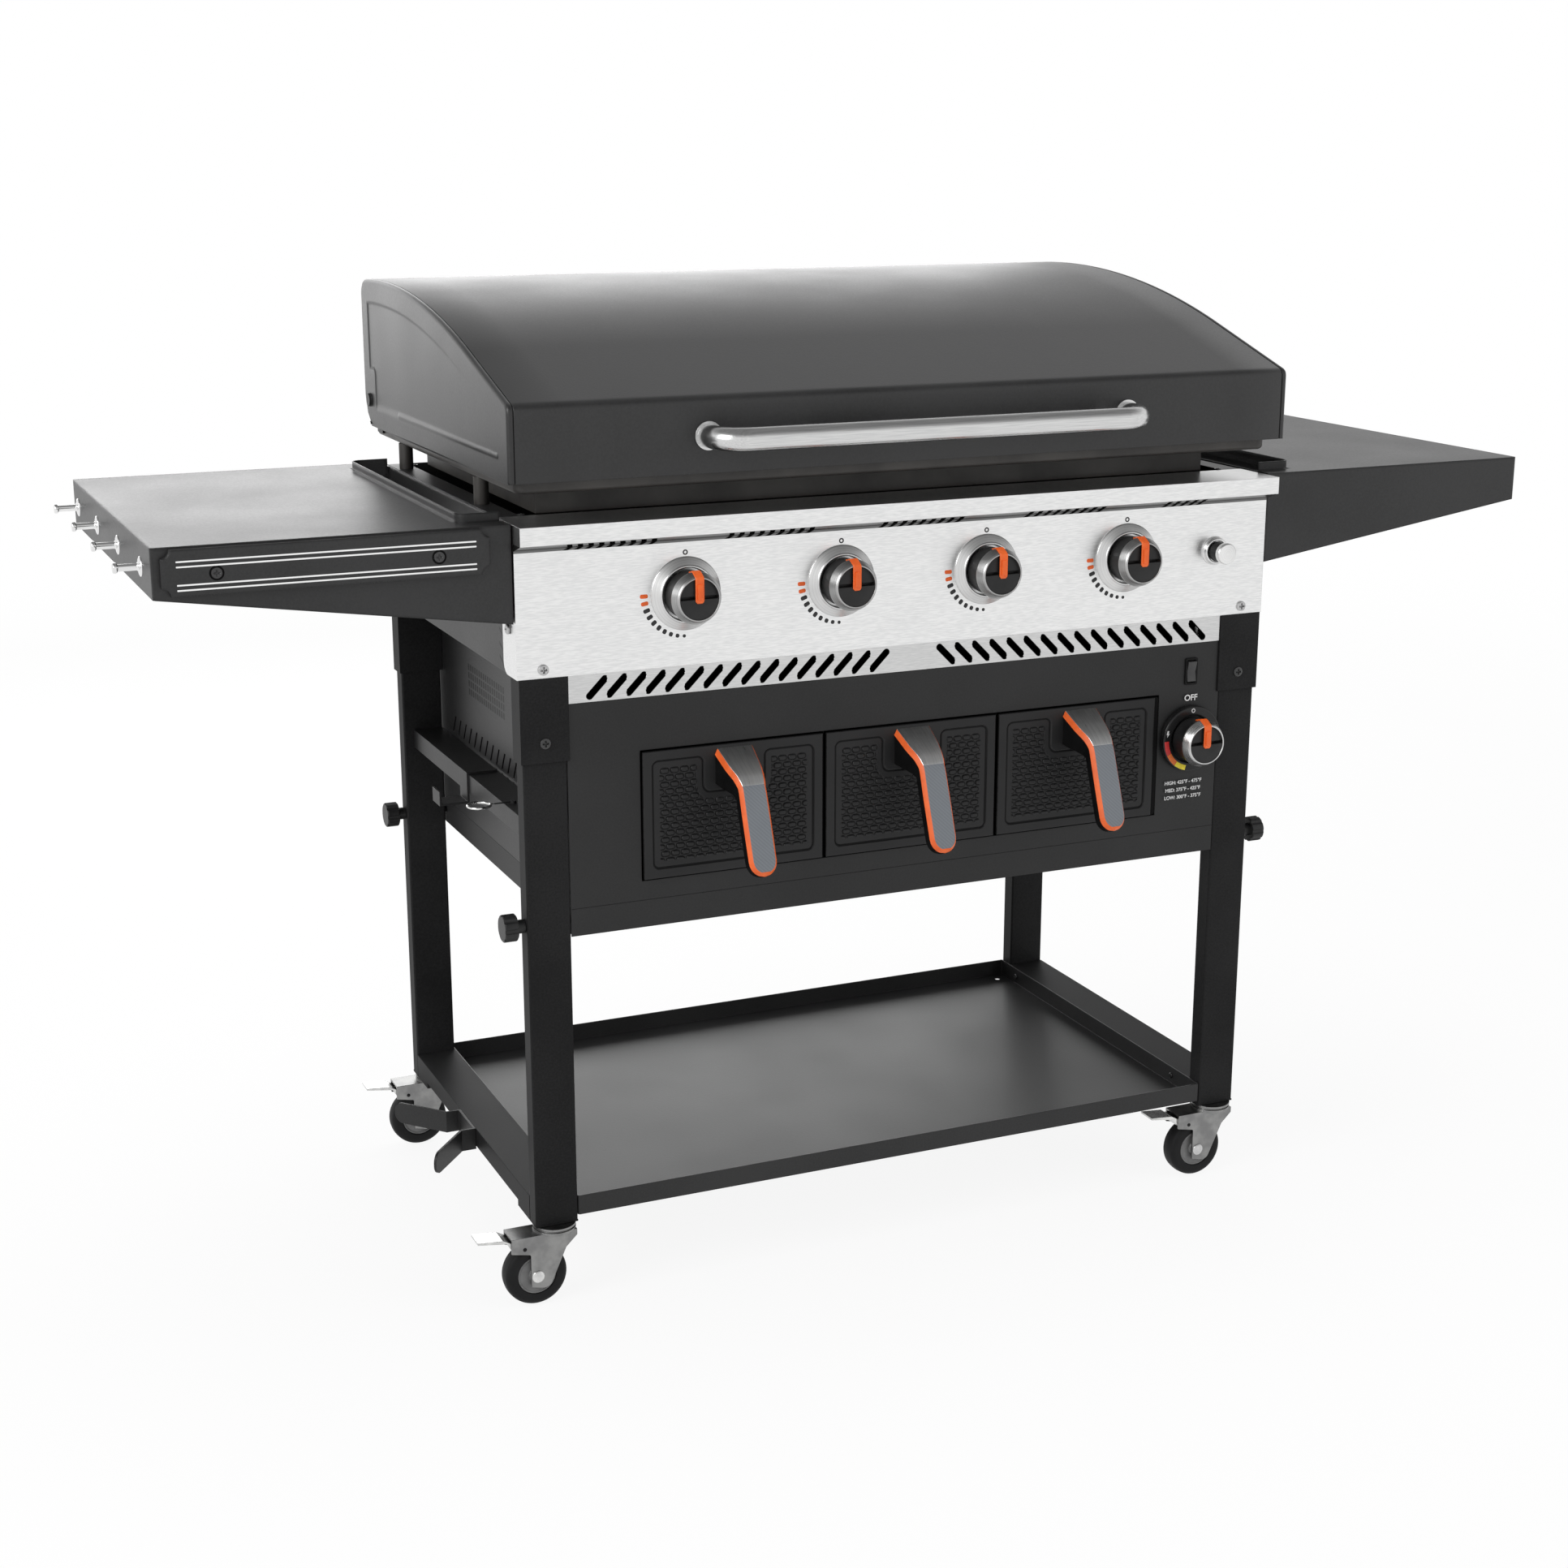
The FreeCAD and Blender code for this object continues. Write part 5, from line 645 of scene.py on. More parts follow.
orange = orange_plastic()
core_black = knob_plastic("core_black", 0.004, 0.5, 0.12)
grip_grey = grip_finish()
cap_steel = brushed_steel("cap_steel", 0.7, 0.3, (500.0, 30.0, 30.0), 0.0004)
face_front = limits("drawer_1")[0][1]
chamfer_wide, chamfer_deep, handle_deep, cap_drop, handle_drop = 3.6, 6.0, 18.8, 33.0, 127.0
shoulder_share, shoulder_rise, gusset_drop = 0.59, 6.0, 42.0
for number in (1, 2, 3):
    drawer, handle = f"drawer_{number}", f"drawer_handle_{number}"
    low, high = limits(handle)
    middle = (low[0] + high[0]) / 2
    line = [(face_front, high[2]),
            (face_front + shoulder_share * (low[1] - face_front), high[2] - cap_drop + shoulder_rise),
            (low[1], high[2] - handle_drop)]
    top, run = spaced(eased(line, 15.0, steps=12), 1.2, 2)
    top, run = top[::-1], run[-1] - run[::-1]
    drop = high[2] - top[:, 1]
    half = np.interp(drop, (0, 15, 23, cap_drop, 68, handle_drop),
                     (24.6, 22.0, 18.9, 16.6, 17.0, 16.8))
    under = sideways(top, -handle_deep)
    arm = drop < cap_drop + 11
    way = 1 - drop[arm, None] / drop[arm].max()
    under[arm] = under[arm][0] * (1 - way) + np.array((face_front, high[2] - gusset_drop)) * way
    deep = np.interp(run, (0, chamfer_wide), (chamfer_deep - 0.4, 0))
    outer = round_end(half, run, 0.0)
    inner = round_end(half - chamfer_wide, run, chamfer_wide)
    make(f"{drawer}_handle_core", drawer, core_black,
         [band(sideways(top, -chamfer_deep + 0.2), under, outer - 0.7, 1.2, middle)], (handle,))
    make(f"{drawer}_handle_rim", drawer, orange,
         [band(sideways(top, -deep), sideways(top, -chamfer_deep), np.minimum(inner, outer - 0.3) + 0.1,
               0.2, middle, outer)])
    for label, finish, shown in (("cap", cap_steel, drop < cap_drop),
                                 ("grip", grip_grey, (drop > cap_drop - 1.3) & (run > chamfer_wide))):
        make(f"{drawer}_handle_{label}", drawer, finish,
             [band(sideways(top[shown], 0.35), sideways(top[shown], -1.0), inner[shown] - 0.1, 0.3,
                   middle)])


# The burner box: a folded coated steel shell, three slanted slots by each front corner, and on
# its front a brushed stainless panel with the knobs.
def box_coat():
    """Powder coat on the burner box, with three slanted slots on each side painted black: painted shade for
    the openings.
    """
    material = powder_coat("box_coat", 0.014, 0.44, 0.4)
    shader, place, coated, _ = reopened(material)
    reach = limits("burner_box")[1][0] - 5.0
    over = place.axis("Y") - 56.0
    slots = 0
    for centre in (780.0, 763.5, 748.5):
        line = place.axis("Z") - centre - over * 0.5
        slots = abs(line).fall(1.6, 2.2) * abs(over).fall(7.0, 7.8) + slots
    hole_shade = slots * abs(place.axis("X")).rise(reach, reach + 0.2)
    feed(shader, Base_Color=hole_shade.blend(coated, tint(0.001)), Metallic=hole_shade)
    return material


def panel_steel():
    """Brushed stainless steel, with painted shade under the panel's lip: a dark grey band running onto
    the panel's face, with black slots painted on it for the shade inside them. Slots lean by 0.36 of
    the way forward, and by 2.2 of the way down where the band turns under."""
    material = brushed_steel("panel_steel", 0.81, 0.3)
    shader, place, bare, _ = reopened(material)
    ahead, above = place.axis("Y"), place.axis("Z")
    lip_shade = above.rise(874.2, 874.6) * above.fall(884.5, 885.0) * ahead.fall(-1.9, -1.6)
    first, pitch, group, filled, whole, wide = -421.5, 12.0, 186.2, 102.0, 798.0, 6.0
    tip, turn = -22.4, 877.0
    leant = (place.axis("X") - (ahead - tip) * 0.36 + (turn - above).math("MAXIMUM", 0) * 2.2
             - first)
    in_group = leant.cell(group)
    slots = (in_group.cell(pitch).fall(wide - 0.3, wide + 0.3) * in_group.fall(filled, filled + 0.5)
             * leant.between(-0.5, whole, 0.5))
    lip_shaded_steel = lip_shade.blend(bare, tint(0.15))
    feed(shader, Base_Color=(slots * lip_shade).blend(lip_shaded_steel, tint(0.002)))
    return material


coat(box_coat(), "burner_box")
coat(panel_steel(), "front_panel")


# The burner knobs: each has a brushed steel bezel on the panel, and a black knob with a bright
# bevelled ring, a black face in two levels and an orange pointer that runs over its edge.
def ring_brushed(name, shade, gloss, centres):
    """Steel brushed in circles round the nearest of some centres: its scratches are noise
    read at the distance from that centre's axis, so they run round it."""
    material, shader, place = new_finish(name, tint(shade), gloss, 1.0)
    x, z = place.axis("X"), place.axis("Z")
    radius = None
    for centre in centres:
        spot = np.array(centre) / 1000 + station
        over, up = x - spot[0], z - spot[2]
        away = (over * over + up * up).math("SQRT")
        radius = away if radius is None else radius.math("MINIMUM", away)
    scratch = radius.node("ShaderNodeCombineXYZ", {}, {0: radius}).noise(1800.0, 3.0)
    mix = (scratch * 0.7 + place.noise(25.0, 2.0) * 0.3).rise(0.35, 0.65)
    feed(shader, Base_Color=mix.blend(tint(shade * 0.78), tint(shade, 1.15, 1.15, 1.14)),
         Roughness=gloss - 0.08 + scratch * 0.16, Normal=scratch.bump(0.00008, 0.5))
    return material


def front_of(node, ahead=0.0):
    """Give the middle of a CAD node's front, or a spot some way ahead of it."""
    low, high = limits(node)
    return (low[0] + high[0]) / 2, low[1] - ahead, (low[2] + high[2]) / 2


knob_reach, panel_face = 7.0, -2.0
knob_centres = [front_of(f"burner_{number}_knob", knob_reach) for number in (1, 2, 3, 4)]
fryer_centre = front_of("fryer_knob", knob_reach)
bezel_steel = ring_brushed("bezel_steel", 0.62, 0.3, knob_centres)
ring_steel = ring_brushed("ring_steel", 0.42, 0.36, knob_centres)
fryer_steel = ring_brushed("fryer_steel", 0.6, 0.28, [fryer_centre])
bezel_profile = eased([(-1, 29), (-1, 41), (1.4, 41), (2.2, 40), (7.2, 32.4), (8.2, 31.6), (8.5, 30.6),
                       (8.2, 29.4), (4, 29)], 0.6, closed=True)
make("burner_bezels", "stand", bezel_steel,
     [turned(bezel_profile, (x, panel_face, z), steps=128, ring=True) for x, _, z in knob_centres],
     ("bezels",))


def circle(angle):
    """Points of a circle of radius 1 at some angles: (cos a, sin a)."""
    return np.stack((np.cos(angle), np.sin(angle)), 1)


def rounded(width, height, corner, steps=6):
    """A rectangle round (0, 0) with quarter circle corners, each (cos a, sin a) x its radius."""
    angle = np.linspace(0, np.pi / 2, steps)
    over, up = width / 2 - corner * 0.999, height / 2 - corner * 0.999
    sides = ((over, up), (-over, up), (-over, -up), (over, -up))
    return np.concatenate([circle(angle + k * np.pi / 2) * corner * 0.998 + side
                           for k, side in enumerate(sides)])


def inset(outline, amount):
    """Move a closed outline inwards: each corner goes by (n1 + n2) / (1 + n1.n2), where n1 and
    n2 are the normals of its two sides."""
    ahead = np.roll(outline, -1, 0) - outline
    ahead = ahead / np.linalg.norm(ahead, axis=1, keepdims=True)
    normal = np.stack((-ahead[:, 1], ahead[:, 0]), 1)
    before = np.roll(normal, 1, 0)
    share = 1 + (normal * before).sum(1, keepdims=True)
    return outline + amount * (normal + before) / np.maximum(share, 0.2)


def slab(outline, low, high, ease, spot):
    """Carry an outline from one depth to another, drawn in by the ease at its far rim."""
    levels = ((outline, low), (outline, high - ease), (inset(outline, ease * 0.3), high - ease * 0.3),
              (inset(outline, ease), high))
    rows = [np.column_stack((line, np.full(len(line), depth))) for line, depth in levels]
    return loft(np.array(rows) @ FRONT + np.asarray(spot, float))


def knob_parts(centre, knob, steel):
    """Build one knob from the place of its front: turned profiles give the body and the ring,
    two half discs the face, and a band and a slab the pointer."""
    x, front, z = centre
    deep = 28.0 + knob_reach
    side = eased([(-deep, 0), (-deep, 26.4), (-deep + 1, 27), (-15, 27), (-12.4, 28.2), (-12, 22.6),
                  (-9, 22.6), (-9, 0)], 0.8)
    make(f"{knob}_body", knob, black_plastic, [turned(side, centre, steps=96)],
         (knob,))
    ring = eased([(-12.2, 28.3), (-11.4, 29.1), (-10, 29.1), (-2.4, 25.4), (-0.3, 23.9), (-0.3, 22.8),
                  (-1.6, 22.3), (-12, 22.3)], 0.7, closed=True)
    make(f"{knob}_ring", knob, steel, [turned(ring, centre, steps=128, ring=True)])
    levels = []
    for first, last, top in ((np.pi, 2 * np.pi, -1.0), (0.14, np.pi - 0.14, -3.7)):
        half_disc = circle(np.linspace(first, last, 40)) * 22.4
        levels.append(slab(half_disc, -9.4, top, 0.4, centre))
    make(f"{knob}_face", knob, black_plastic, levels)
    outer = eased([(-1.2, -4.5), (1.0, -4.0), (1.3, 0), (1.3, 21), (0.9, 24.4), (-4.5, 27.6),
                   (-9.8, 30.3), (-12.4, 30.0), (-16, 28.6), (-20, 28.0)], 2.2, steps=12)
    path, _ = spaced(outer, 0.8, 2)
    line = (front, z) + path * (-1, 1)
    wide = np.interp(path[:, 1], (-4.5, -2.0, 0), (3.2, 4.8, 5.0))
    make(f"{knob}_pointer", knob, orange,
         [band(line, sideways(line, -2.4), wide, 0.7, x),
          slab(rounded(6.4, 17.0, 1.6) + (0, 8.5), 1.0, 2.9, 0.5, centre)])


for number, centre in enumerate(knob_centres, 1):
    knob_parts(centre, f"burner_{number}_knob", ring_steel)
    coat(zinc, f"burner_{number}_stem")
knob_parts(fryer_centre, "fryer_knob", fryer_steel)
coat(zinc, "fryer_stem")


# Printed marks on the panel: ten dashes round each knob's lower left, the first two orange, and
# a small ring above it for off. They are screen printed, so they are thin and satin.
def ink(name, *colour):
    """Screen printing ink: nearly even, with a faint mottle and a satin skin."""
    full = (*colour, 1)
    return mottled(name, full, tint(0.85, *colour), full, (300.0, 3.0), (0.45, 0.12))


black_ink = ink("black_ink", 0.012, 0.012, 0.013)
orange_ink = ink("orange_ink", 0.9, 0.14, 0.02)
white_ink = ink("white_ink", 0.8, 0.8, 0.8)
thin = 0.15
hot, cool, zeros = [], [], []
zero_profile = [(-0.2, 1.5), (-0.2, 3.0), (thin, 3.0), (thin, 1.5)]
for x, _, z in knob_centres:
    for place in range(10):
        share = place / 9
        along = circle([math.radians(180 + 87.3 * share)])[0]
        long, away = 9.2 - 5.4 * share, 48.8 - 1.4 * share
        outline = (rounded(long, min(4.6, long), 1.8) + (away, 0)) @ (along, (-along[1], along[0]))
        dash = slab(outline, -0.2, thin, 0.05, (x, panel_face, z))
        (hot if place < 2 else cool).append(dash)
    zeros.append(turned(zero_profile, (x, panel_face, z + 45.4), steps=32, ring=True))
make("orange_dashes", "stand", orange_ink, hot)
make("black_dashes", "stand", black_ink, cool + zeros)


# The fryer's dial: a glossy black ring on the panel with a printed heat scale, the zero at its
# top, and plain words and temperatures above and below it.
def arc_band(inner, outer, first, last, spot, depth):
    """A flat piece between two radii and two angles, a fraction of a millimetre thick."""
    arc = circle(np.radians(np.linspace(first, last, 24)))
    return slab(np.concatenate((arc * outer, arc[::-1] * inner)), depth - 0.3, depth, 0.05, spot)


def words(name, text, size, x, z):
    """Set plain white words as a thin solid on the panel, with their middle at x and foot at z."""
    line = bpy.data.curves.new(name, "FONT")
    line.body = text
    line.size = size
    line.align_x = "CENTER"
    line.extrude = 0.1
    line.offset = size * 0.02
    holder = add(name, line)
    bpy.context.view_layer.update()
    mesh = bpy.data.meshes.new_from_object(holder)
    bpy.data.objects.remove(holder)
    points = np.empty(len(mesh.vertices) * 3)
    mesh.vertices.foreach_get("co", points)
    faces = [list(face.vertices) for face in mesh.polygons]
    shape = points.reshape(-1, 3) @ FRONT + (x, panel_face - 0.1, z)
    make(name, "stand", white_ink, [(shape, faces)], sheet=True)


dial_black = knob_plastic("dial_black", 0.012, 0.22)
fryer_x, _, fryer_z = fryer_centre
dial_spot = (fryer_x, panel_face, fryer_z)
dial_face = 7.0
dial_profile = eased([(-1, 29), (-1, 41), (2, 41), (dial_face - 1, 40.6), (dial_face, 39.4),
                      (dial_face, 31), (dial_face - 0.6, 29.4), (3, 29)], 0.8, closed=True)
make("fryer_dial", "stand", dial_black,
     [turned(dial_profile, dial_spot, steps=128, ring=True)])
print_low, print_high = dial_face - 0.2, dial_face + 0.1
for label, shade, first, last in (("high", ink("red_ink", 0.62, 0.03, 0.03), 180, 207),
                                  ("medium", ink("amber_ink", 0.75, 0.16, 0.02), 207.5, 232),
                                  ("low", ink("yellow_ink", 0.85, 0.68, 0.03), 232.5, 257)):
    make(f"dial_{label}", "stand", shade,
         [arc_band(33, 39.2, first, last, dial_spot, print_high)])
bolt = np.array([(-2.2, -0.6), (-0.5, -0.6), (-1.6, -4.2), (2.2, 1.0), (0.3, 1.0), (1.6, 4.2), (-1.0, 4.2)])
zero_mark = [(print_low, 1.6), (print_low, 2.7), (print_high, 2.7), (print_high, 1.6)]
make("dial_marks", "stand", white_ink,
     [slab(bolt + (-34.6, 9.0), print_low, print_high, 0.05, dial_spot),
      turned(zero_mark, (fryer_x, panel_face, fryer_z + 35.6), steps=32, ring=True)])
off_rise, text_drop, text_pitch, text_left = 47.0, 47.6, 9.4, 6.0
words("dial_off", "OFF", 10.5, fryer_x, fryer_z + off_rise)
for number, text in enumerate(("HIGH: 425°F - 475°F", "MED: 375°F - 425°F", "LOW: 300°F - 375°F"), 1):
    words(f"dial_line_{number}", text, 6.2, fryer_x - text_left, fryer_z - text_drop - text_pitch * number)

# The igniter: a stepped steel collar, a knurled black barrel and a bright pressed cap. Above the
# dial is a glossy black rocker switch in its frame.
low, high = limits("igniter_button")
ignite_radius = (high[0] - low[0]) / 2
igniter = front_of("igniter_button")
igniter_steel = ring_brushed("igniter_steel", 0.78, 0.3, [igniter])
collar = eased([(-1, 12.9), (-1, 17.4), (2, 17.4), (2.6, 16.2), (5, 15.6), (6, 15), (6.4, 13.9),
                (6.2, 12.9)], 0.6, closed=True)
make("igniter_collar", "stand", igniter_steel,
     [turned(collar, (igniter[0], panel_face, igniter[2]), steps=96, ring=True)])
angle = np.linspace(0, 2 * np.pi, 144, endpoint=False)
knurl = circle(angle) * (1 + 0.012 * np.cos(angle * 36))[:, None]
rows = [np.column_stack((knurl * radius, np.full(len(knurl), depth))) for depth, radius in
        ((-23.4, 0.1), (-23.4, 11.6), (-8.0, 11.6), (-7.4, 11.2), (-7.2, 0.1))]
make("igniter_barrel", "igniter", black_plastic,
     [loft(np.array(rows) @ FRONT + igniter)], ("igniter_button",))
cap = eased([(-8, 0), (-8, ignite_radius), (-1.6, ignite_radius), (-0.3, ignite_radius - 1.4),
             (0, ignite_radius - 3), (0, 0)], 1.0)
make("igniter_cap", "igniter", igniter_steel, [turned(cap, igniter, steps=96)])
coat(knob_plastic("rocker_black", 0.03, 0.3, 0.5), "rocker_switch")
coat(knob_plastic("switch_frame", 0.004, 0.5, 0.15), "switch_housing")


# Inside the box: tube burners of plain sheet steel on a zinc plated gas manifold, and under them
# the drawers' bay, coated near black as painted shade between the drawers. The grease cup of sheet steel
# hangs behind the box.
def sheet_metal(name, shade, gloss):
    """Plain mill-finish sheet steel: grey, with rolled streaks and smoky heat stains."""
    material, shader, place = new_finish(name, tint(shade), gloss, 1.0)
    stain = place.noise(11.0, 4.0)
    rolled = place.noise((400.0, 12.0, 400.0), 3.0)
    mix = (stain * 0.7 + rolled * 0.3).rise(0.3, 0.7)
    feed(shader, Base_Color=mix.blend(tint(shade, 0.6, 0.58, 0.55), tint(shade, 1.15, 1.14, 1.12)),
         Roughness=gloss - 0.1 + stain * 0.2, Normal=rolled.bump(0.0001, 0.4, 0.0008))
    return material


coat(sheet_metal("mill_steel", 0.4, 0.42), "burners")
coat(black_coat_and_painted_shade, "drawer_bay")
coat(sheet_metal("cup_steel", 0.5, 0.35), "grease_cup")
coat(zinc, "gas_train")


# The griddle plate: thick rolled steel with a rim, on four short posts, dark brown from its oiled
# seasoning and a little glossy where the oil has baked on.
def seasoned_steel():
    """Seasoned steel: brown-black, cloudy, smoother where the baked oil lies thicker."""
    material, shader, place = new_finish("seasoned_steel", (0.03, 0.028, 0.026, 1), 0.45,
                                         Specular_IOR_Level=0.55)
    oil = place.noise(14.0, 5.0)
    grain = place.noise(420.0, 3.0)
    feed(shader, Base_Color=oil.rise(0.25, 0.75).blend((0.018, 0.016, 0.0145, 1),
                                                       (0.045, 0.041, 0.037, 1)),
         Roughness=0.55 - oil * 0.22 + grain * 0.08, Normal=grain.bump(0.00025, 0.4, 0.0015))
    return material


coat(seasoned_steel(), "griddle_plate")

# The hood: one powder coated sheet bent over two pressed end caps. Each cap wraps over the edge
# in a strip, and its side is pressed in by a millimetre inside a line that follows the curve.
hood_coat = powder_coat("hood_coat", 0.015, 0.38, 0.5)
hood_low, hood_high = limits("hood_shell")
hood_half = (hood_high[0] - hood_low[0]) / 2
front, back, bottom, apex = hood_low[1], hood_high[1], hood_low[2], hood_high[2]
cap_wide, wall, arc_radius, apex_place = 7.0, 1.2, 1240.0, back - 82.0


def hood_line(rear_end, rear_cut=0.0):
    """The hood's side line from the front bottom to the back, as (Y, Z): a flat front, a round
    corner, a slope that is the large arc's tangent, the arc, and a rear corner down to the end.
    The arc is (apex_place + R sin a, apex - R + R cos a)."""
    start = -math.asin(360.0 / arc_radius)
    corner_radius = 20.0
    reach = arc_radius - corner_radius
    stop = math.asin((back - corner_radius - apex_place) / reach)
    angle = np.linspace(start, stop, 90)
    arc = (apex_place, apex - arc_radius) + arc_radius * circle(angle)[:, ::-1]
    knee = arc[0, 1] - math.tan(-start) * (arc[0, 0] - front)
    turn = np.linspace(stop, np.pi / 2, 12)[1:]
    rear = ((back - corner_radius, apex - arc_radius + reach * math.cos(stop))
            + corner_radius * circle(turn)[:, ::-1])
    lead = eased([(front, bottom), (front, knee), tuple(arc[0])], 7.4, steps=9)
    tail = [(back, rear_end + rear_cut)]
    if rear_cut:
        tail += [(back - 9, rear_end + rear_cut * 0.36), (back - rear_cut * 0.7, rear_end)]
    return np.concatenate((lead[:-1], arc, rear, np.array(tail)))


def standing(x, line):
    """Stand a line of (Y, Z) at an X, the same for all its points or one for each."""
    return np.column_stack((np.broadcast_to(x, len(line)), line))


sheet_line, _ = spaced(hood_line(bottom + 57.0), 3.5)
seam = hood_half - cap_wide
rows = [(-seam - 3.0, 1.7), (-seam + 0.35, 1.7), (-seam + 0.4, 0.8), (-seam + 0.6, 0.3),
        (-seam + 1.2, 0.0), (-seam + 60, 0.0)]
rows += [(-x, ease) for x, ease in rows[::-1]]
underside = sideways(sheet_line, -wall - 1.0)[::-1]
make("hood_sheet", "hood", hood_coat,
     [loft([standing(x, np.concatenate((sideways(sheet_line, -ease), underside))) for x, ease in rows])],
     ("hood_shell",), sharp=50)

cap_line, _ = spaced(hood_line(bottom, 36.0), 2.5)
edge_radius = 4.0
pin_place, pin_height = back - 27.0, bottom + 32.0


def cap_relief(y, z):
    """How far the cap's side is pressed in at (Y, Z): a millimetre inside the line 27 mm from
    the curve, fading to the front, with the hinge's plate standing up, and a long low rib."""
    samples = hood_line(bottom)[9:-1]
    away = np.full(y.shape, 1e3)
    for a, b in zip(samples, samples[1:]):
        t = np.clip(((y - a[0]) * (b[0] - a[0]) + (z - a[1]) * (b[1] - a[1]))
                    / ((b - a) ** 2).sum(), 0, 1)
        away = np.minimum(away, np.hypot(y - a[0] - t * (b[0] - a[0]), z - a[1] - t * (b[1] - a[1])))
    plate = -box_distance(y - back + 18, z - bottom - 45, 36.0, 26.0, 6.0)
    inside = np.maximum(np.maximum(27.0 - away, y - back + 30), plate)
    fade = step(y, 90.0, 300.0) * step(z, bottom + 20, bottom + 32)
    rib = box_distance(y - 215, z - bottom - 26, 200.0, 2.6, 2.6)
    return 1.0 * step(-inside, -0.2, 2.6) * fade - 0.7 * step(-rib, -0.8, 1.6)


strip = [(seam + 0.4, 0.8), (seam + 0.6, 0.3), (seam + 1.2, 0.0)]
strip += [(hood_half - edge_radius + edge_radius * math.sin(a), edge_radius * (1 - math.cos(a)))
          for a in np.linspace(0, np.pi / 2, 8)]
for sign, name in ((-1, "left"), (1, "right")):
    loops = [standing(sign * x, sideways(cap_line, -ease)) for x, ease in strip]
    rim = loops[-1][:, 1:]
    foot = np.linspace((front + edge_radius, bottom), (rim[-1, 0], bottom), len(rim))
    for part in np.linspace(0, 1, 95)[1:]:
        flat = rim * (1 - part) + foot * part
        x = hood_half - cap_relief(*flat.T) * step(part, 0, 0.03)
        loops.append(standing(sign * x, flat))
    piece = make(f"hood_{name}_cap", "hood", hood_coat,
                 [loft(loops[::-sign], around=False)], sharp=50, sheet=True)
    solid = piece.modifiers.new("wall", "SOLIDIFY")
    solid.thickness = wall / 1000
    solid.offset = -1
bush = eased([(-1.5, 4.6), (-1.5, 8.5), (0.8, 8.5), (1.2, 7.6), (0.6, 5.6), (0.2, 4.6)], 0.4, closed=True)
make("hinge_bushes", "hood", black_plastic,
     [turned(bush, (sign * hood_half, pin_place, pin_height), (sign, 0, 0), 48, ring=True)
      for sign in (-1, 1)])


# The hood turns on two steel pins in brackets, and lifts by a thick tube of brushed stainless
# steel, bent round at both ends into a pair of collars.
def tube_steel():
    """Brushed steel tube: fine scratches along its length, light and dark by turns."""
    return brushed_steel("tube_steel", 0.64, 0.24, (30.0, 1100.0, 1100.0), 0.0004)


coat(tube_steel(), "hood_handle")
coat(powder_coat("bracket_coat", 0.014, 0.45), "hinges")

# Side shelves: folded powder coated sheet with a low guard at the griddle. The left one carries
# a magnetic tool bar with two pairs of bright lines, and four chromed pins at its end.
coat(powder_coat("shelf_coat", 0.017, 0.4, 0.42, 0.005), "left_shelf", "right_shelf", "tool_bar")


def polished(name, shade, gloss):
    """Polished metal: bright and nearly even, with faint smears."""
    return mottled(name, tint(shade), tint(shade * 0.92), tint(shade), (45.0, 3.0),
                   (gloss * 0.7, gloss * 0.6), metallic=1.0)


bar_low, bar_high = limits("tool_bar")
bar_spot = front_of("tool_bar")
line_long, line_high, line_ends = (bar_high[0] - bar_low[0]) - 30.0, 1.7, 0.6
make("tool_bar_lines", "stand", polished("line_steel", 0.95, 0.3),
     [slab(rounded(line_long, line_high, line_ends) + (0, z), -0.3, 0.35, 0.1, bar_spot)
      for z in (11.6, 6.3, -12.2, -17.5)])
shelf_end = limits("left_shelf")[0][0]
hook_low, _ = limits("utensil_hooks")
hook_first, hook_pitch, hook_out = 62.8, 143.3, shelf_end - hook_low[0]
hook_height = front_of("utensil_hooks")[2]
pin = eased([(-1, 0), (-1, 10.6), (0.8, 10.6), (1.8, 8.4), (2.4, 5.2), (3.6, 3.8),
             (hook_out - 5, 3.8), (hook_out - 4.6, 4.8), (hook_out - 4, 5.6), (hook_out - 0.8, 5.6),
             (hook_out, 4.4), (hook_out, 0)], 0.7)
make("utensil_pins", "stand", polished("chrome", 0.82, 0.12),
     [turned(pin, (shelf_end, hook_first + hook_pitch * k, hook_height), (-1, 0, 0), 32)
      for k in range(4)], ("utensil_hooks",))


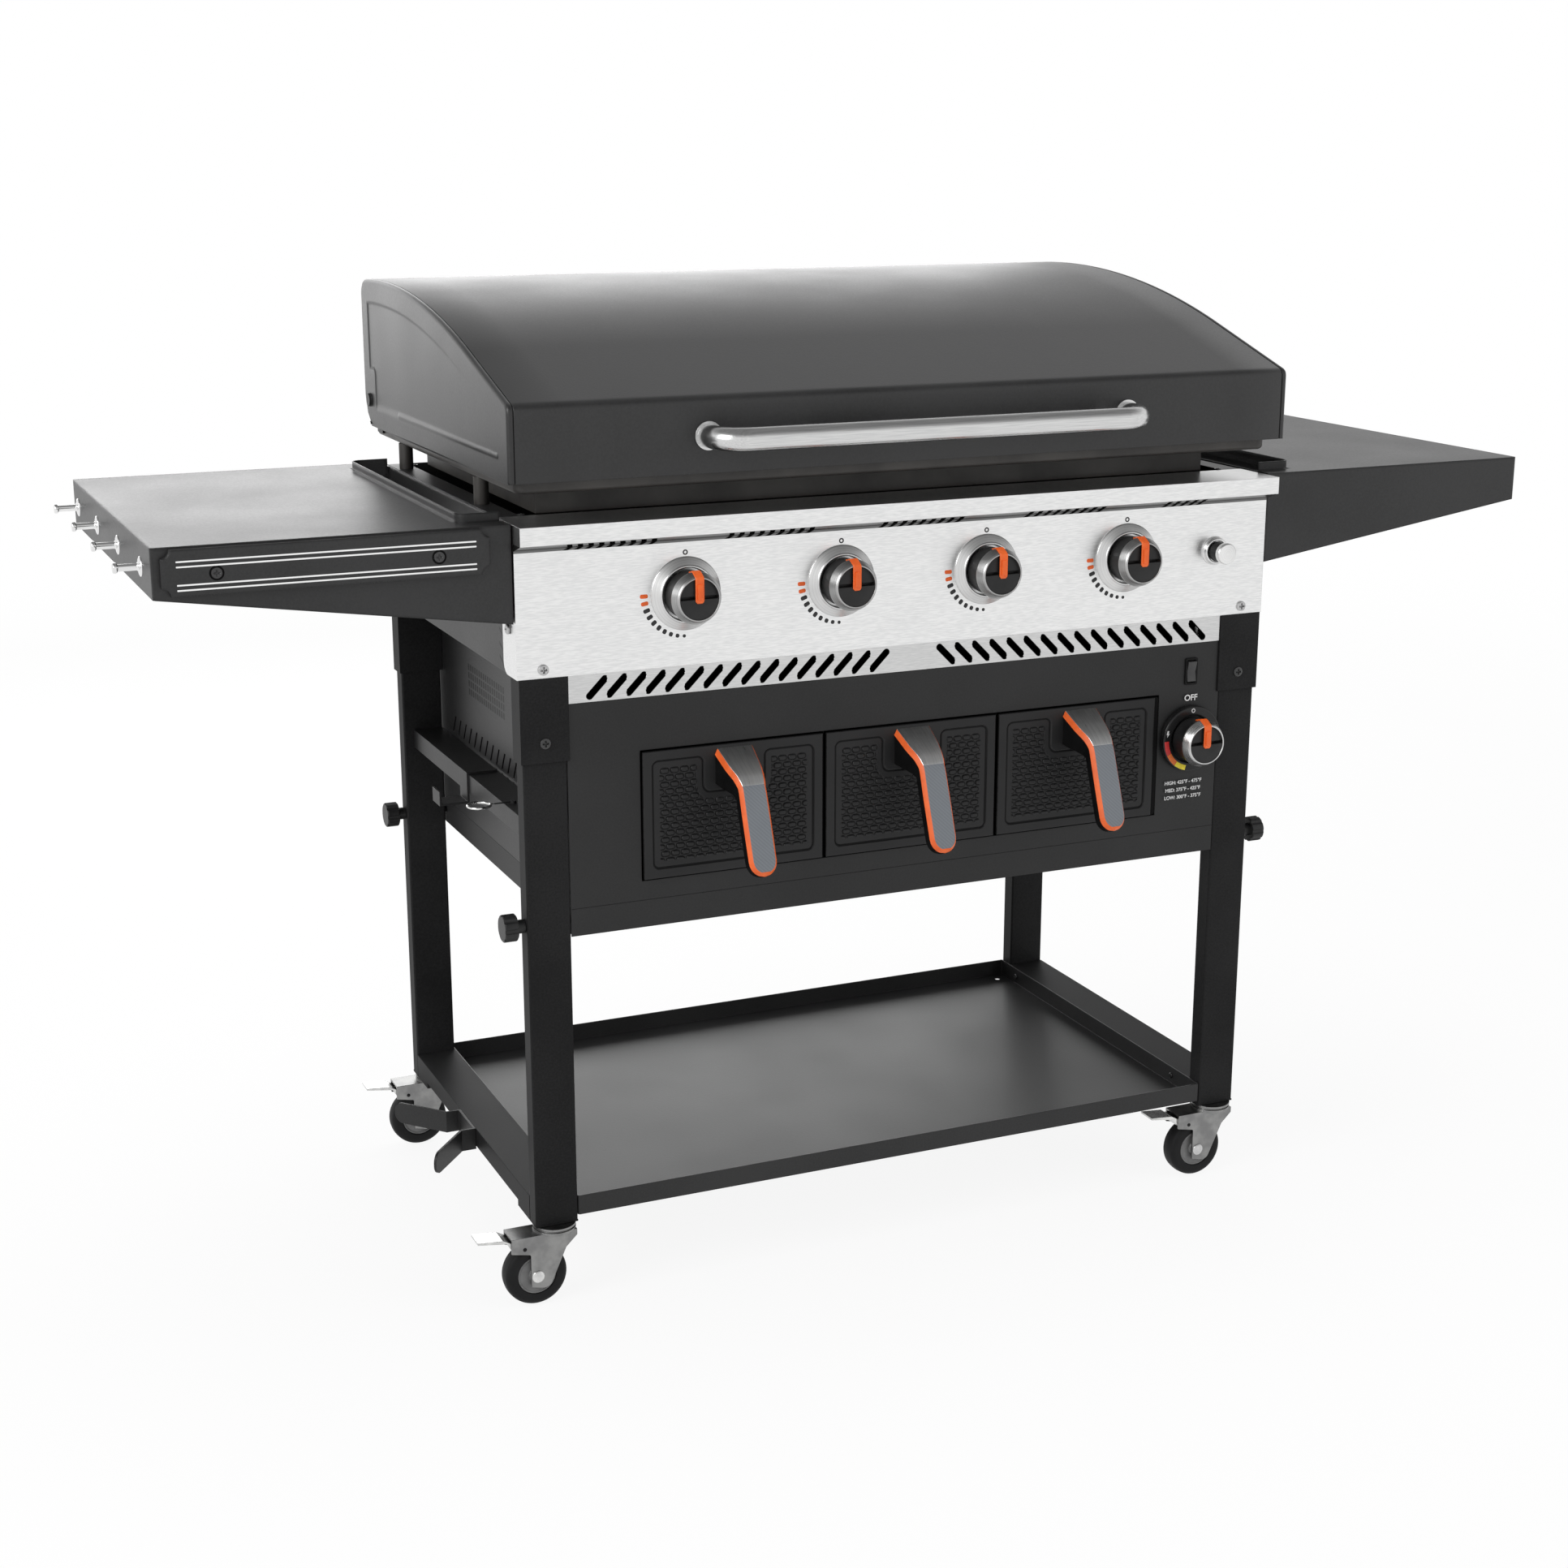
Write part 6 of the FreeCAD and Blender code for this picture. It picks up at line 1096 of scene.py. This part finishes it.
# Screws: domed heads with a pressed cross, black on the coated steel and zinc bright on the
# stainless panel.
def screw(spot, out, radius, rise):
    """A domed head, rise x (0.35 + 0.65 sqrt(1 - 0.93 r²)) high at r of its radius. A cross whose
    arms are 0.26 of the radius wide and reach to 0.55 of it is pressed in by 0.85 of the rise."""
    rings, steps = 9, 48
    r, a = np.meshgrid(np.linspace(0, 1, rings), np.linspace(0, 2 * np.pi, steps, endpoint=False),
                       indexing="ij")
    u, v = r * np.cos(a), r * np.sin(a)
    dome = 0.35 + 0.65 * np.sqrt(np.clip(1 - r ** 2 * 0.93, 0, 1))
    arm = np.minimum(np.maximum(np.abs(u) - 0.13, np.abs(v) - 0.55),
                     np.maximum(np.abs(v) - 0.13, np.abs(u) - 0.55))
    height = rise * (dome - 0.85 * step(-arm, -0.05, 0.06))
    out = np.array(out, float)
    side = np.array((1.0, 0, 0)) if abs(out[0]) < 0.5 else np.array((0, 1.0, 0))
    up = np.cross(out, side)
    top = (np.array(spot, float) + radius * (u[..., None] * side + v[..., None] * up)
           + height[..., None] * out)
    foot = top[-1] - (height[-1, :, None] + 0.3) * out
    return loft(np.concatenate((top, foot[None])), ends=False)


leg_middle, rail_inner, panel_side = 444.75, 417.7, 475.4
black_heads, bright_heads, seat_shade_rings = [], [], []
for sign in (-1, 1):
    x = leg_middle * sign
    black_heads.append(screw((x, -2.5, 665.0), (0, -1, 0), 6.0, 2.4))
    bright_heads.append(screw((x, panel_face, 746.6), (0, -1, 0), 6.0, 3.0))
    bright_heads.append(screw((panel_side * sign, 22.5, 789.6), (sign, 0, 0), 6.0, 2.8))
    black_heads += [screw((rail_inner * sign, y, 115.2), (-sign, 0, 0), 3.8, 2.2) for y in (63.0, 478.0)]
    black_heads += [screw((x, y, 905.0), (0, 0, 1), 3.8, 1.6) for y in (61.5, 490.0)]
for x in (-786.4, -556.3):
    spot = (x, bar_spot[1], bar_spot[2] - 2.1)
    black_heads.append(screw(spot, (0, -1, 0), 5.6, 1.2))
    # A flat near-black ring round each head is painted shade where the head sits in the bar.
    seat_shade_rings.append(turned([(-0.3, 5.2), (-0.3, 7.6), (0.3, 7.6), (0.3, 5.2)], spot, ring=True))
make("tool_bar_screw_shade_rings", "stand", black_coat_and_painted_shade, seat_shade_rings)
make("black_screws", "stand", knob_plastic("screw_black", 0.02, 0.24, 0.6),
     black_heads, ("screws",))
make("bright_screws", "stand", polished("screw_steel", 0.5, 0.3), bright_heads)
